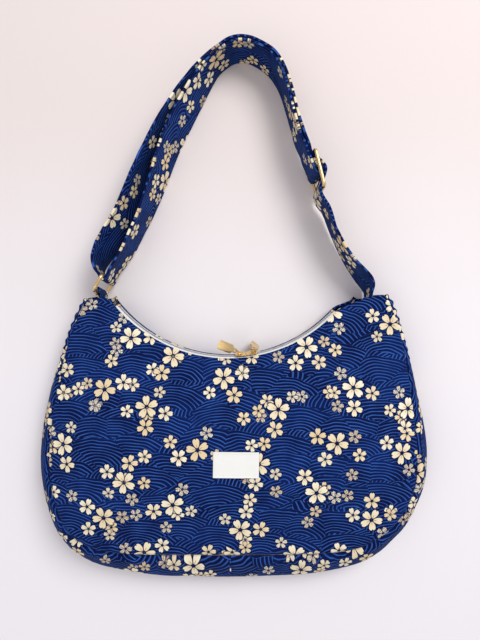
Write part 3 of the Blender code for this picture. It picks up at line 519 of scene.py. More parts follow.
# bag body
bagSetup = {
    # half of the plan, in mm from its middle line
    "halfPlan": ((144.2, 155.2), (146.2, 153.5), (148.2, 150.9), (152.5, 142.5), (158.3, 130.0),
                 (165.5, 110.0), (170.6, 92.0), (175.5, 74.0), (179.5, 56.0), (183.5, 36.0),
                 (186.0, 16.0), (186.5, -2.0), (184.5, -22.0), (178.5, -43.0), (168.5, -65.0),
                 (158.0, -78.5), (146.0, -89.5), (127.0, -100.0), (98.0, -108.0), (60.0, -112.3),
                 (30.0, -113.6), (0.0, -114.0)),
    "shiftTop": -0.0035, "shiftBelly": -0.0026, "shiftBottom": -0.0060,
    "cornerLift": 0.0035, "cornerShare": 0.04, "cornerReach": 0.004, "evenShare": 0.2,
    "frontInsets": (0.003, 0.014, 0.029), "backInsets": (0.003, 0.009, 0.011),
    "tongueReach": 0.0105, "tongueShare": 0.02,
    "lip": 0.0024, "mouthHeight": 0.029, "seamHeight": 0.040, "dome": 0.014,
    "rimSetback": 0.008, "rimReach": 0.0052, "rimShare": 0.16,
    "mouthRadius": 0.1419, "mouthCentre": (-0.0113, 0.2367),
    "mouthAngles": (math.radians(-55.0), math.radians(57.5)),
    "flare": 0.0104, "flareFrom": math.radians(47.5),
    "clothThickness": 0.0016,
    "seamGroove": 0.0026, "grooveWidth": 0.0016, "seamRoll": 0.0010,
    "pucker": 0.00055, "puckerReach": 0.011, "puckerPitch": 0.0085,
}
bag = bagSetup


def bodyShift(y):
    return (bag["shiftTop"] + bag["shiftBelly"] * ease((0.150 - y) / 0.110)
            + bag["shiftBottom"] * ease(-(y + 0.020) / 0.080))


def curveThrough(points, steps):
    last = len(points) - 1
    line = []
    for k in range(last):
        a, b, c, d = (np.array(points[min(max(k + j, 0), last)]) for j in (-1, 0, 1, 2))
        for t in np.linspace(0.0, 1.0, steps, endpoint=False):
            line.append(0.5 * (2 * b + (c - a) * t + (2 * a - 5 * b + 4 * c - d) * t * t
                               + (3 * b - a - 3 * c + d) * t ** 3))
    line.append(np.array(points[last]))
    return np.array(line)


def planTable():  # the plan from the left corner, under the bag, to the right one, evenly spaced
    left = [(-x * mm, y * mm) for x, y in bag["halfPlan"]]
    right = [(x * mm, y * mm) for x, y in bag["halfPlan"][-2::-1]]
    raw = curveThrough(left + right, 24)
    raw[:, 0] += [bodyShift(y) for y in raw[:, 1]]
    raw[:, 1] += [bag["cornerLift"] * ease((y - 0.125) / 0.030) * (x > 0.0) for x, y in raw]
    lengths = np.concatenate(([0.0], np.cumsum(np.hypot(*np.diff(raw, axis=0).T))))
    wanted = np.linspace(0.0, lengths[-1], len(tableStops))
    return np.column_stack([np.interp(wanted, lengths, raw[:, k]) for k in (0, 1)]), lengths[-1]


def insetAt(insets, across):
    side = min(across, 1.0 - across)
    corner, belly, bottom = insets
    return corner + (belly - corner) * ease(side / 0.2) + (bottom - belly) * ease((side - 0.22) / 0.25)


def outwardOf(table):
    tangent = np.gradient(table, axis=0)
    tangent /= np.linalg.norm(tangent, axis=1)[:, None]
    return np.column_stack((tangent[:, 1], -tangent[:, 0]))


tableStops = np.linspace(0.0, 1.0, 901)
planLine, frontLength = planTable()
backLength = frontLength
outwardTable = outwardOf(planLine)
if outwardTable[450, 1] > 0.0:
    outwardTable = -outwardTable
frontTable = planLine - outwardTable * np.array([insetAt(bag["frontInsets"], s) for s in tableStops])[:, None]
backTable = planLine - outwardTable * np.array([insetAt(bag["backInsets"], s) for s in tableStops])[:, None]


def spread(s):  # closer columns near both corners
    return bag["evenShare"] * s + (1.0 - bag["evenShare"]) * (0.5 - 0.5 * math.cos(math.pi * s))


def readTable(table, across):
    return np.array([np.interp(across, tableStops, table[:, k]) for k in (0, 1)])


def mouthPoint(angle, out):
    radius = bag["mouthRadius"] - out
    middle = bag["mouthCentre"]
    return np.array((middle[0] + radius * math.sin(angle), middle[1] - radius * math.cos(angle)))


def mouthEdge(across, out=0.0):
    first, last = bag["mouthAngles"]
    angle = first + (last - first) * across
    leave = bag["flare"] * ease((angle - bag["flareFrom"]) / (last - bag["flareFrom"]))
    return mouthPoint(angle, out - leave)


def bagPoint(across, down):  # down: 0 to 1 front, 1 to 2 gusset, 2 to 3 back
    front, back = readTable(frontTable, across), readTable(backTable, across)
    belly = ease(1.6 * min(across, 1.0 - across) / 0.5)
    top = bag["mouthHeight"]
    seamZ = top + (bag["seamHeight"] - top) * belly
    if down <= 1.0:
        mouth = mouthEdge(across, bag["lip"] * ease(min(across, 1.0 - across) / bag["cornerShare"]))
        plan = mouth + (front - mouth) * down
        rise = math.sin(math.pi * min(max(down, 0.0), 1.0)) ** 0.8
        return Vector((*plan, top + (seamZ - top) * down + bag["dome"] * belly * rise))
    if down <= 2.0:
        share = down - 1.0
        swell = math.sin(math.pi * share)
        bulge = (insetAt(bag["frontInsets"], across) + insetAt(bag["backInsets"], across)) / 2.0
        plan = front + (back - front) * share + readTable(outwardTable, across) * bulge * swell
        side = round(across)
        if abs(across - side) < bag["tongueShare"]:
            toSlot = mouthEdge(side) - readTable(frontTable, side)
            reach = bag["tongueReach"] * (1.0 - ease(abs(across - side) / bag["tongueShare"]))
            plan = plan + toSlot / np.linalg.norm(toSlot) * reach * swell ** 5
        return Vector((*plan, seamZ * (1.0 - share)))
    share = down - 2.0
    rimShare, setback = bag["rimShare"], bag["rimSetback"]
    rimTop = top - 0.0122
    openUp = ease(min(across, 1.0 - across) / bag["cornerShare"])
    if share < 1.0 - rimShare:
        foot = mouthEdge(across, -setback * openUp)
        return Vector((*(back + (foot - back) * share / (1.0 - rimShare)), 0.0))
    turn = (share - 1.0 + rimShare) / rimShare * math.pi / 2.0
    swing = math.sin(min(turn * 1.15, math.pi / 2.0))
    curved = (bag["rimReach"] + setback) * swing - setback
    flat = bag["cornerReach"] * turn / (math.pi / 2.0)
    out = flat + (curved - flat) * openUp
    return Vector((*mouthEdge(across, out), rimTop * (1.0 - math.cos(turn)) * openUp))


def seamFold(distance, along, seed):
    groove = -bag["seamGroove"] * math.exp(-(distance / bag["grooveWidth"]) ** 2)
    roll = bag["seamRoll"] * math.exp(-((distance - 0.006) / 0.0035) ** 2)
    beat = math.sin(2.0 * math.pi * along / bag["puckerPitch"] + 4.0 * waver(along, seed, 0.03, seed))
    fade = math.exp(-distance / bag["puckerReach"]) * (1.0 - math.exp(-(distance / 0.002) ** 2))
    depth = bag["pucker"] * (0.75 + 1.5 * waver(along, 3.0 * seed, 0.045, seed + 5.0))
    return groove + roll * (1.0 + 0.5 * beat) + depth * beat * fade


def frontLift(s, t, place):
    seam = readTable(frontTable, s)
    distance = math.hypot(place.x - seam[0], place.y - seam[1])
    height = seamFold(distance, s * frontLength, 1.7)
    inside = ease(distance / 0.03)
    height += 0.0011 * inside * waver(place.x, place.y, 0.085, 2.0)
    height += 0.00035 * inside * waver(place.x, place.y, 0.028, 4.0)
    middle = bag["mouthCentre"]
    mouth = math.hypot(place.x - middle[0], place.y - middle[1]) - bag["mouthRadius"]
    height += (0.0005 * math.exp(-((mouth - 0.004) / 0.003) ** 2)
               - 0.0004 * math.exp(-((mouth - 0.009) / 0.002) ** 2))
    # the crease across the left shoulder
    run = (place.x + 0.178) / 0.075
    if -0.2 < run < 1.2:
        valley = place.y - (0.111 + 0.004 * run)
        depth = ease((1.2 - run) / 0.5) * ease((run + 0.2) / 0.3)
        height += depth * (-0.0013 * math.exp(-(valley / 0.0035) ** 2)
                           + 0.0008 * math.exp(-((valley - 0.008) / 0.005) ** 2))
    return height


def gussetLift(s, t, place):
    span = 0.052
    upper = seamFold(t * span, s * frontLength, 1.7)
    lower = seamFold((1.0 - t) * span, s * backLength, 6.1)
    loose = math.sin(math.pi * t) ** 0.7
    drift = 0.0010 * loose * waver(s * frontLength, t * span, 0.035, 8.0)
    return upper + max(lower, -0.0008) + drift


def backLift(s, t, place):
    seam = readTable(backTable, s)
    distance = math.hypot(place.x - seam[0], place.y - seam[1])
    return min(seamFold(distance, s * backLength, 6.1), 0.0) * 0.8


def frontLay(s, t):
    point = bagPoint(spread(s), t)
    return (point.x * 1.03 + 0.40, point.y * 1.05 + 0.40)


def backLay(s, t):
    point = bagPoint(spread(s), 2.0 + t)
    return (1.60 - point.x * 1.02, point.y * 1.02 + point.z + 0.40)


def addBody():
    bm = clothGrid(220, 96, lambda s, t: bagPoint(spread(s), t), frontLay,
                   lambda s, t, place: frontLift(spread(s), t, place), flip=True)
    front = finishMesh("frontPanel", bm, panelPrint, "bag", ("front_panel",))
    thicken(front, bag["clothThickness"], -1.0)
    for name, low, node in (("gussetLeft", 0.0, "gusset_left"), ("gussetRight", 0.5, "gusset_right")):
        def across(s):
            return spread(low + 0.5 * s)

        bm = clothGrid(150, 30, lambda s, t: bagPoint(across(s), 1.0 + t),
                       lambda s, t: (0.9 + across(s) * frontLength, 1.2 + t * 0.052 + low),
                       lambda s, t, place: gussetLift(across(s), t, place), flip=True)
        gusset = finishMesh(name, bm, panelPrint, "bag", (node,))
        thicken(gusset, bag["clothThickness"], -1.0)
    bm = clothGrid(180, 80, lambda s, t: bagPoint(spread(s), 2.0 + t), backLay,
                   lambda s, t, place: backLift(spread(s), t, place), flip=True)
    back = finishMesh("backPanel", bm, panelPrint, "bag", ("back_panel",))
    thicken(back, bag["clothThickness"], -1.0)
    for node in ("lining_front", "lining_back", "lining_gusset_left", "lining_gusset_right"):
        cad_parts[node].data.materials[0] = liningCloth
    return front


frontPanel = addBody()
print("bag body made")


# zip
zipSetup = {
    "tapeAngles": (math.radians(-50.0), math.radians(47.0)),
    "coilAngles": (math.radians(-49.0), math.radians(46.0)),
    "out": 0.0040, "drop": 0.0066, "slope": math.radians(70.0),
    "tapeThickness": 0.0005,
    "coilPitch": 0.0013, "coilWire": 0.00030, "coilWidth": 0.0016, "coilHeight": 0.0011, "coilSplit": 0.0010,
    # out of the mouth's edge and height, from the back tape's coil side to its hidden edge
    "tapeTuck": ((0.0044, 0.0189), (0.0031, 0.0174), (0.0027, 0.0160), (0.0024, 0.0112)),
}


def zipSection(a, b):
    slope = zipSetup["slope"]
    return (zipSetup["out"] + a * math.cos(slope) + b * math.sin(slope),
            bag["mouthHeight"] - zipSetup["drop"] - a * math.sin(slope) + b * math.cos(slope))


def alongSection(section, t):
    steps = [math.dist(section[k], section[k + 1]) for k in range(len(section) - 1)]
    want = t * sum(steps)
    for k, step in enumerate(steps):
        if want <= step or k == len(steps) - 1:
            share = want / step
            return [section[k][i] + (section[k + 1][i] - section[k][i]) * share for i in (0, 1)], want
        want -= step


def addTape(name, section, node, flip):
    length = sum(math.dist(section[k], section[k + 1]) for k in range(len(section) - 1))
    low, high = zipSetup["tapeAngles"]

    def place(s, t):
        (out, z), _ = alongSection(section, t)
        angle = low + (high - low) * s
        return Vector((*mouthPoint(angle, out), z + 0.0001 * waver(s * 0.26, t * length, 0.004, 3.0)))

    arc = (high - low) * bag["mouthRadius"]
    bm = clothGrid(200, 12, place, lambda s, t: (s * arc, t * length), flip=flip)
    tape = finishMesh(name, bm, tapeCloth, "bag", (node,))
    return thicken(tape, zipSetup["tapeThickness"], 0.0, 0.0)


def wireMesh(name, points, radius, closed, rounds=3, material=None, body="bag",
             replaces=()):
    curve = bpy.data.curves.new(name, "CURVE")
    curve.dimensions = "3D"
    spline = curve.splines.new("POLY")
    spline.points.add(len(points) - 1)
    for spot, point in zip(spline.points, points):
        spot.co = (*point, 1.0)
    spline.use_cyclic_u = closed
    curve.bevel_depth = radius
    curve.bevel_resolution = rounds
    curve.use_fill_caps = not closed
    helper = bpy.data.objects.new(name + "Curve", curve)
    bpy.context.scene.collection.objects.link(helper)
    mesh = bpy.data.meshes.new_from_object(helper.evaluated_get(bpy.context.evaluated_depsgraph_get()))
    bm = bmesh.new()
    bm.from_mesh(mesh)
    bmesh.ops.recalc_face_normals(bm, faces=bm.faces)
    bpy.data.objects.remove(helper)
    bpy.data.curves.remove(curve)
    bpy.data.meshes.remove(mesh)
    return finishMesh(name, bm, material or goldMetal, body, replaces)


def addCoil(name, sign, node):
    low, high = zipSetup["coilAngles"]
    radius = bag["mouthRadius"] - zipSetup["out"]
    turns = int((high - low) * radius / zipSetup["coilPitch"])
    middle = sign * (zipSetup["coilSplit"] + zipSetup["coilWidth"]) / 2
    points = []
    for k in range(turns * 8 + 1):
        turn = 2.0 * math.pi * k / 8
        angle = low + (high - low) * k / (turns * 8)
        a = middle + math.cos(turn) * (zipSetup["coilWidth"] / 2 - zipSetup["coilWire"] / 2)
        b = math.sin(turn) * (zipSetup["coilHeight"] / 2 - zipSetup["coilWire"] / 2)
        out, z = zipSection(a, b)
        points.append((*mouthPoint(angle, out), z))
    wireMesh(name, points, zipSetup["coilWire"], False, 1, coilPlastic, "bag", (node,))


def refinedCopy(node, name, body, width, material=goldMetal, angle=35):
    bm = bmesh.new()
    bm.from_mesh(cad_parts[node].data)
    bmesh.ops.remove_doubles(bm, verts=bm.verts, dist=0.000002)
    bmesh.ops.dissolve_limit(bm, angle_limit=math.radians(1.0), verts=bm.verts, edges=bm.edges)
    edges = [edge for edge in bm.edges
             if len(edge.link_faces) == 2 and edge.calc_face_angle() > math.radians(angle)]
    bmesh.ops.bevel(bm, geom=edges, offset=width, affect="EDGES", segments=3, profile=0.5, material=-1,
                    clamp_overlap=True)
    bmesh.ops.recalc_face_normals(bm, faces=bm.faces)
    piece = finishMesh(name, bm, material, body, (node,), smooth=False)
    for polygon in piece.data.polygons:
        polygon.use_smooth = True
    piece.data.set_sharp_from_angle(angle=math.radians(40))
    return piece


def addZip():
    tapeStart = zipSetup["coilSplit"] / 2 + zipSetup["coilWidth"]
    under = bag["mouthHeight"] - 0.0018 - 0.0003 - 0.00025
    front = [(-0.0045, under - 0.0006), (0.0, under - 0.0004), (0.0016, under - 0.0006),
             zipSection(-tapeStart, 0.0)]
    back = [zipSection(tapeStart, 0.0), *zipSetup["tapeTuck"]]
    addTape("zipTapeFront", front, "zip_tape_front", True)
    addTape("zipTapeBack", back, "zip_tape_back", True)
    addCoil("zipCoilFront", -1, "zip_coil_front")
    addCoil("zipCoilBack", 1, "zip_coil_back")
    for node, name, body, width in (("zip_stop_left", "zipStopLeft", "bag", 0.00025),
                                    ("zip_stop_right", "zipStopRight", "bag", 0.00025),
                                    ("zip_slider_left", "zipSliderLeft", "left_slider", 0.00022),
                                    ("zip_slider_right", "zipSliderRight", "right_slider", 0.00022),
                                    ("zip_link_left", "zipLinkLeft", "left_link", 0.0),
                                    ("zip_link_right", "zipLinkRight", "right_link", 0.0),
                                    ("zip_pull_left", "zipPullLeft", "left_pull", 0.00022),
                                    ("zip_pull_right", "zipPullRight", "right_pull", 0.00022)):
        if width:
            refinedCopy(node, name, body, width)
        else:
            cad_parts[node].data.materials[0] = goldMetal


addZip()
print("zip made")


# label
labelSetup = {
    "width": 0.0415, "length": 0.0232, "x": -0.0036, "y": 0.0025, "thickness": 0.0005, "turn": -0.012,
}


def addLabel():
    skin = BVHTree.FromObject(frontPanel, bpy.context.evaluated_depsgraph_get())
    c, s = math.cos(labelSetup["turn"]), math.sin(labelSetup["turn"])

    def place(u, v):
        dx, dy = (u - 0.5) * labelSetup["width"], (v - 0.5) * labelSetup["length"]
        x, y = labelSetup["x"] + dx * c - dy * s, labelSetup["y"] + dx * s + dy * c
        foot = skin.ray_cast(Vector((x, y, 1.0)), Vector((0, 0, -1)))[0]
        edge = min(u, 1.0 - u) * labelSetup["width"]
        curl = 0.0004 * ease(1.0 - min(v, 1.0 - v) * labelSetup["length"] / 0.003)
        fold = -0.00025 * math.exp(-((v * labelSetup["length"] - 0.0016) / 0.0004) ** 2)
        tuck = -0.0002 * math.exp(-(edge / 0.0012) ** 2)
        return foot + Vector((0, 0, 0.0006 + curl + fold + tuck + 0.00025 * waver(x, y, 0.012, 9.0)))

    bm = clothGrid(48, 40, place, lambda u, v: (u * labelSetup["width"], v * labelSetup["length"]))
    label = finishMesh("sewnLabel", bm, labelCloth, "bag", ("label",))
    thicken(label, labelSetup["thickness"], 1.0, 0.0002)


addLabel()
print("label made")


# ring, tab, adjuster and strap
ringSetup = {
    "tabBar": Vector((-0.1334, 0.1605, 0.0247)), "heading": math.radians(63.0), "tilt": math.radians(5.0),
    "innerLength": 0.0400, "innerWidth": 0.0110, "wire": 0.0017, "corner": 0.0034,
    "wrapHeading": math.radians(-97.0),
}
adjusterSetup = {
    "centre": Vector((0.0730, 0.2730, 0.0237)), "heading": math.radians(-76.0),
    "innerWidth": 0.0400, "length": 0.0348, "wire": 0.0016, "corner": 0.0034,
}
tabSetup = {"width": 0.030, "endWidth": 0.022, "leg": 0.0020, "slotShare": 0.29, "thickness": 0.0015}

ringAlong = Vector((math.cos(ringSetup["heading"]), math.sin(ringSetup["heading"]), 0.0))
ringUp = Vector((0, 0, 1)) * math.cos(ringSetup["tilt"]) + ringAlong * math.sin(ringSetup["tilt"])
ringReach = ringAlong * math.cos(ringSetup["tilt"]) - Vector((0, 0, 1)) * math.sin(ringSetup["tilt"])
ringPitch = ringSetup["innerWidth"] + 2 * ringSetup["wire"]
strapBar = ringSetup["tabBar"] + ringReach * ringPitch
adjusterAlong = Vector((math.cos(adjusterSetup["heading"]), math.sin(adjusterSetup["heading"]), 0.0))
adjusterOut = Vector((0, 0, 1)).cross(adjusterAlong)


def roundedLoop(length, width, radius, steps=6):
    points = []
    for cx, cy, start in ((1, 1, 0.0), (-1, 1, 0.5), (-1, -1, 1.0), (1, -1, 1.5)):
        for k in range(steps + 1):
            angle = math.pi * (start + 0.5 * k / steps)
            points.append((cx * (length / 2 - radius) + radius * math.cos(angle),
                           cy * (width / 2 - radius) + radius * math.sin(angle)))
    return points


def addRing():
    middle = (ringSetup["tabBar"] + strapBar) / 2
    loop = roundedLoop(ringSetup["innerLength"] + 2 * ringSetup["wire"], ringPitch, ringSetup["corner"])
    points = [middle + ringUp * u + ringReach * v for u, v in loop]
    wireMesh("strapRing", points, ringSetup["wire"], True, 4, body="ring", replaces=("strap_ring",))


def addAdjuster():
    setup = adjusterSetup
    loop = roundedLoop(setup["innerWidth"] + 2 * setup["wire"], setup["length"], setup["corner"])
    points = [setup["centre"] + Vector((0, 0, u)) + adjusterAlong * v for u, v in loop]
    outer = wireMesh("strapAdjuster", points, setup["wire"], True, 4, body="adjuster",
                     replaces=("strap_adjuster",))
    reach = setup["innerWidth"] / 2 + setup["wire"]
    bar = [setup["centre"] + Vector((0, 0, reach * (k / 4 - 1.0))) for k in range(9)]
    wireMesh("strapAdjusterBar", bar, setup["wire"] * 0.96, False, 4, body="adjuster")


# x, y and height of the ribbon's middle and the lean of its upper edge, in mm
strapRoute = {
    "corner": ((124.6, 153.0, 14.6, 0.0, 0.0), (125.0, 159.5, 15.2, 1.5, -0.5),
               (124.4, 165.0, 16.8, 4.5, 1.5), (122.6, 169.0, 18.2, 6.0, 2.5),
               (119.3, 173.6, 19.3, 5.8, 3.0), (114.6, 179.2, 19.8, 4.0, 2.0),
               (106.2, 189.5, 20.3, 1.0, 1.0), (97.9, 203.0, 20.9, -1.0, 0.5),
               (89.6, 220.0, 22.0, -2.0, 0.0), (82.8, 238.0, 23.2, -1.0, 0.0)),
    "outer": ((59.6, 306.6, 23.0, 0.0, 0.0), (55.2, 321.8, 22.0, 0.0, 0.0),
              (51.4, 336.4, 21.0, 0.0, 0.0), (47.8, 350.4, 20.2, 0.5, 0.5),
              (43.4, 363.6, 19.6, 1.0, 1.0), (37.3, 375.4, 19.4, 1.5, 1.5),
              (30.6, 383.6, 19.3, 1.5, 2.0), (20.6, 390.8, 19.3, 1.0, 2.0),
              (10.0, 395.6, 19.3, 0.5, 2.0), (0.0, 396.9, 19.3, 0.0, 2.0),
              (-9.5, 394.8, 19.3, -0.7, 2.2), (-20.0, 388.0, 19.3, -1.6, 2.6),
              (-29.5, 379.0, 19.3, -3.5, 3.8), (-40.4, 366.6, 19.2, -6.0, 5.0),
              (-53.6, 350.0, 19.1, -7.0, 4.8), (-64.0, 334.6, 19.1, -7.5, 4.4),
              (-74.0, 318.0, 19.1, -8.0, 4.2), (-84.0, 299.0, 19.1, -8.4, 4.0),
              (-94.0, 278.0, 19.2, -8.4, 4.0), (-102.1, 255.1, 18.8, -12.0, 5.8),
              (-110.4, 233.3, 18.5, -15.0, 7.2), (-119.8, 216.6, 19.3, -15.0, 7.2),
              (-128.3, 203.0, 20.8, -11.4, 5.8), (-133.9, 191.4, 22.3, -6.2, 4.0),
              (-135.4, 182.4, 23.3, 0.4, 2.8)),
    "inner": ((-119.6, 181.5, 23.2, 0.6, 2.4), (-113.2, 191.0, 22.4, -1.0, 2.4),
              (-105.0, 205.8, 21.4, -2.4, 2.2), (-97.4, 222.8, 20.4, -3.6, 2.2),
              (-89.6, 241.2, 19.6, -6.0, 2.8), (-81.0, 263.0, 19.2, -8.6, 3.2),
              (-73.8, 286.0, 19.0, -10.6, 4.0), (-65.2, 308.4, 18.9, -11.6, 5.0),
              (-53.4, 333.0, 18.9, -12.0, 6.6), (-42.6, 352.6, 18.9, -10.0, 6.6),
              (-33.6, 367.4, 19.1, -6.4, 5.2), (-25.2, 378.2, 19.2, -2.6, 2.8),
              (-17.8, 385.3, 19.2, -1.6, 2.4), (-8.4, 391.5, 19.2, -0.6, 2.2),
              (0.0, 393.6, 19.2, 0.0, 2.0), (9.2, 392.4, 19.2, 0.5, 2.0),
              (19.0, 387.9, 19.2, 1.0, 2.0), (28.4, 381.2, 19.3, 1.5, 2.0),
              (34.6, 373.5, 19.4, 1.5, 1.5), (40.4, 362.4, 19.6, 1.0, 1.0),
              (44.7, 349.5, 20.2, 0.5, 0.5), (48.2, 335.5, 21.0, 0.0, 0.0),
              (52.0, 320.9, 22.0, 0.0, 0.0), (56.2, 305.6, 23.0, 0.0, 0.0)),
    "passOuter": ((24.0, -3.2), (17.4, -3.3), (12.0, -0.2), (8.0, 2.5), (4.4, 4.8), (0.0, 6.2),
                  (-4.4, 4.8), (-8.0, 2.7), (-12.0, 0.2), (-17.4, -3.3), (-24.0, -3.4)),
    "passInner": ((-24.0, -6.4), (-17.4, -6.3), (-12.0, -5.2), (-8.0, -4.7), (-4.0, -4.5), (-0.4, -3.9),
                  (2.5, -2.6), (3.5, 0.0), (2.5, 2.4), (0.0, 3.3), (-2.4, 2.5), (-3.8, 0.6),
                  (-6.0, -1.2), (-8.6, -1.9), (-10.6, -2.3)),
}


def strapStations():
    stations = []

    def fromRoute(rows):
        for x, y, z, leanX, leanY in rows:
            rise = math.sqrt((strapSetup["width"] / mm) ** 2 - leanX ** 2 - leanY ** 2)
            stations.append([Vector((x, y, z)) * mm, Vector((leanX, leanY, rise)).normalized(),
                             strapSetup["width"], 1.0])

    def fromAdjuster(rows):
        for along, out in rows:
            place = adjusterSetup["centre"] + adjusterAlong * along * mm + adjusterOut * out * mm
            stations.append([place, Vector((0, 0, 1)), strapSetup["width"], 0.0])

    fromRoute(strapRoute["corner"])
    for k, width in enumerate((strapSetup["endWidth"], strapSetup["endWidth"], 0.031, 0.034, 0.0365)):
        stations[k][2] = width
        stations[k][3] = 0.2 * k
    fromAdjuster(strapRoute["passOuter"])
    fromRoute(strapRoute["outer"])
    wrap = ringSetup["wire"] + 0.0004 + 0.0012
    heading = Vector((math.cos(ringSetup["wrapHeading"]), math.sin(ringSetup["wrapHeading"]), 0.0))
    heading = (heading - ringUp * heading.dot(ringUp)).normalized()
    beside = ringUp.cross(heading)
    for k in range(7):
        turn = math.pi * (k / 3 - 1) * 0.5
        around = heading * math.cos(turn) + beside * math.sin(turn)
        stations.append([strapBar + around * wrap, ringUp, strapSetup["width"], 0.0])
    fromRoute(strapRoute["inner"])
    fromAdjuster(strapRoute["passInner"])
    return stations


def smoothRoute(stations, step):
    result = []
    last = len(stations) - 1
    for k in range(last):
        p = [stations[min(max(k + j, 0), last)][0] for j in (-1, 0, 1, 2)]
        chord = (p[2] - p[1]).length
        start = (p[2] - p[0]) * chord / max((p[1] - p[0]).length + chord, 1e-9)
        end = (p[3] - p[1]) * chord / max((p[3] - p[2]).length + chord, 1e-9)
        count = max(2, math.ceil(chord / step))
        for j in range(count):
            t = j / count
            h = (2 * t ** 3 - 3 * t ** 2 + 1, t ** 3 - 2 * t ** 2 + t,
                 3 * t ** 2 - 2 * t ** 3, t ** 3 - t ** 2)
            place = p[1] * h[0] + start * h[1] + p[2] * h[2] + end * h[3]
            up = stations[k][1].lerp(stations[k + 1][1], t).normalized()
            width = stations[k][2] + (stations[k + 1][2] - stations[k][2]) * t
            free = stations[k][3] + (stations[k + 1][3] - stations[k][3]) * t
            result.append((place, up, width, free))
    result.append(tuple(stations[-1]))
    return result


def ribbonGrid(route, rows, fullWidth, start, ripple, seed):
    lengths = [0.0]
    for k in range(1, len(route)):
        lengths.append(lengths[-1] + (route[k][0] - route[k - 1][0]).length)
    last = len(route) - 1

    def place(s, t):
        k = round(s * last)
        spot, up, width, free = route[k]
        direction = (route[min(k + 1, last)][0] - route[max(k - 1, 0)][0]).normalized()
        side = direction.cross(up).normalized()
        along = lengths[k]
        wave = ripple * free * (waver(along, t * 0.03, 0.030, seed)
                                + 0.5 * waver(along, t * 0.05, 0.011, seed + 4))
        cup = 0.0006 * free * waver(along, 0.0, 0.06, seed + 9) * (1.0 - (2.0 * t - 1.0) ** 2)
        return spot + up * width * (t - 0.5) + side * (wave + cup)

    bm = clothGrid(last, rows, place, lambda s, t: (start + lengths[round(s * last)], t * fullWidth))
    return bm, lengths[-1]


def addStrap():
    route = smoothRoute(strapStations(), strapSetup["step"])
    bm, length = ribbonGrid(route, strapSetup["rowsAcross"], strapSetup["width"], 2.0, 0.0006, 12.0)
    strap = finishMesh("strapRibbon", bm, strapPrint, None, ("strap",))
    thicken(strap, strapSetup["thickness"], 0.0, 0.0006)
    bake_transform(strap)
    print(f"strap {length:.3f} m long")
    return strap


def addRingTab():
    panelCorner, mouthEnd = readTable(frontTable, 0.0), mouthEdge(0.0)
    slot = mouthEnd + (panelCorner - mouthEnd) * tabSetup["slotShare"]
    start = Vector((slot[0], slot[1] - 0.0030, bag["mouthHeight"] / 2))
    away = ringSetup["tabBar"] - start
    away = (away - ringUp * away.dot(ringUp)).normalized()
    side = away.cross(ringUp)
    flatSide = Vector((side.x, side.y, 0.0)).normalized()
    apart = tabSetup["thickness"] / 2 + 0.0002
    middle = ringSetup["wire"] + 0.0003 + tabSetup["thickness"] / 2
    up = Vector((0, 0, 1))
    leg = ((start, up), (start + away * tabSetup["leg"], up))
    stations = [(point + flatSide * apart, lean, tabSetup["endWidth"], 0.0) for point, lean in leg]
    for k in range(9):
        turn = math.pi * k / 8
        place = ringSetup["tabBar"] + (side * math.cos(turn) + away * math.sin(turn)) * middle
        stations.append((place, ringUp, tabSetup["width"], 0.0))
    stations += [(point - flatSide * apart, lean, tabSetup["endWidth"], 0.0) for point, lean in leg[::-1]]
    bm, length = ribbonGrid(smoothRoute(stations, 0.0012), 10, tabSetup["width"], 3.4, 0.0, 20.0)
    tab = finishMesh("ringTab", bm, panelPrint, "bag", ("ring_tab",))
    thicken(tab, tabSetup["thickness"], 0.0, 0.0004)


addRing()
addAdjuster()
addRingTab()
addStrap()
print("strap, ring, tab and adjuster made")


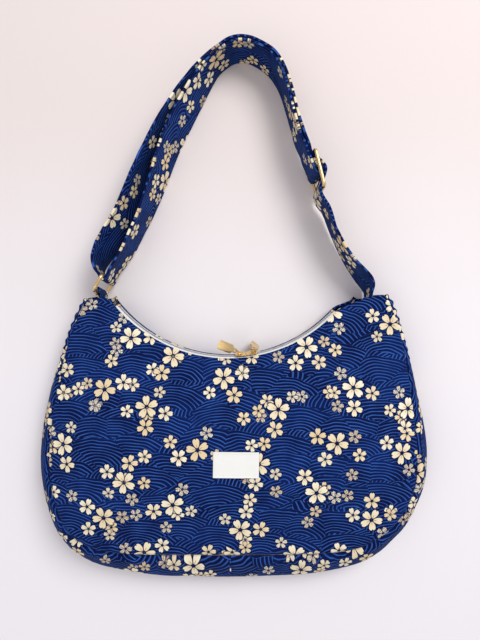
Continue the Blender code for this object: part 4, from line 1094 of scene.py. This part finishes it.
# floor and light
roomSetup = {
    "floorTop": (0.73, 0.65, 0.625), "floorLow": (0.80, 0.766, 0.785),
    "world": 0.60, "worldTint": (0.97, 0.955, 1.0, 1),
    # place, size and power
    "lamps": {"keyLight": ((0.80, 1.05, 1.40), 0.9, 24.0), "fillLight": ((-0.9, -0.5, 1.4), 1.6, 6.0)},
}


def addRoom():
    bm = bmesh.new()
    bmesh.ops.create_grid(bm, x_segments=1, y_segments=1, size=3.0)
    bmesh.ops.translate(bm, verts=bm.verts, vec=(0.0, 0.13, -0.0003))
    mesh = bpy.data.meshes.new("floor")
    bm.to_mesh(mesh)
    bm.free()
    floor = bpy.data.objects.new("floor", mesh)
    bpy.context.scene.collection.objects.link(floor)
    material, tree = newMaterial("paleSheet")
    shader = tree.nodes["Principled BSDF"]
    place = addNode(tree, "ShaderNodeTexCoord").outputs["Object"]
    soft = noiseAt(tree, place, 6.0, 3.0)[0]
    split = addNode(tree, "ShaderNodeSeparateXYZ")
    tree.links.new(place, split.inputs[0])
    height = plus(tree, split.outputs[1], times(tree, soft, 0.1))
    tree.links.new(mixColour(tree, rampBetween(tree, height, 0.10, 0.45), (*roomSetup["floorLow"], 1),
                             (*roomSetup["floorTop"], 1)), shader.inputs["Base Color"])
    fuzz = noiseAt(tree, place, 900.0, 3.0)[0]
    tree.links.new(grainBump(tree, fuzz, 0.25, 0.0002), shader.inputs["Normal"])
    shader.inputs["Roughness"].default_value = 0.9
    shader.inputs["Specular IOR Level"].default_value = 0.2
    mesh.materials.append(material)

    world = bpy.data.worlds.new("softRoom")
    world.use_nodes = True
    background = world.node_tree.nodes["Background"]
    background.inputs["Color"].default_value = roomSetup["worldTint"]
    background.inputs["Strength"].default_value = roomSetup["world"]
    bpy.context.scene.world = world
    for name, (place, size, power) in roomSetup["lamps"].items():
        lamp = bpy.data.lights.new(name, "AREA")
        lamp.size = size
        lamp.energy = power
        light = bpy.data.objects.new(name, lamp)
        light.location = place
        aim = Vector((0.0, 0.13, 0.0)) - Vector(place)
        light.rotation_euler = aim.to_track_quat("-Z", "Y").to_euler()
        bpy.context.scene.collection.objects.link(light)
    bpy.context.scene.view_settings.view_transform = "Standard"


addRoom()
print("room made")
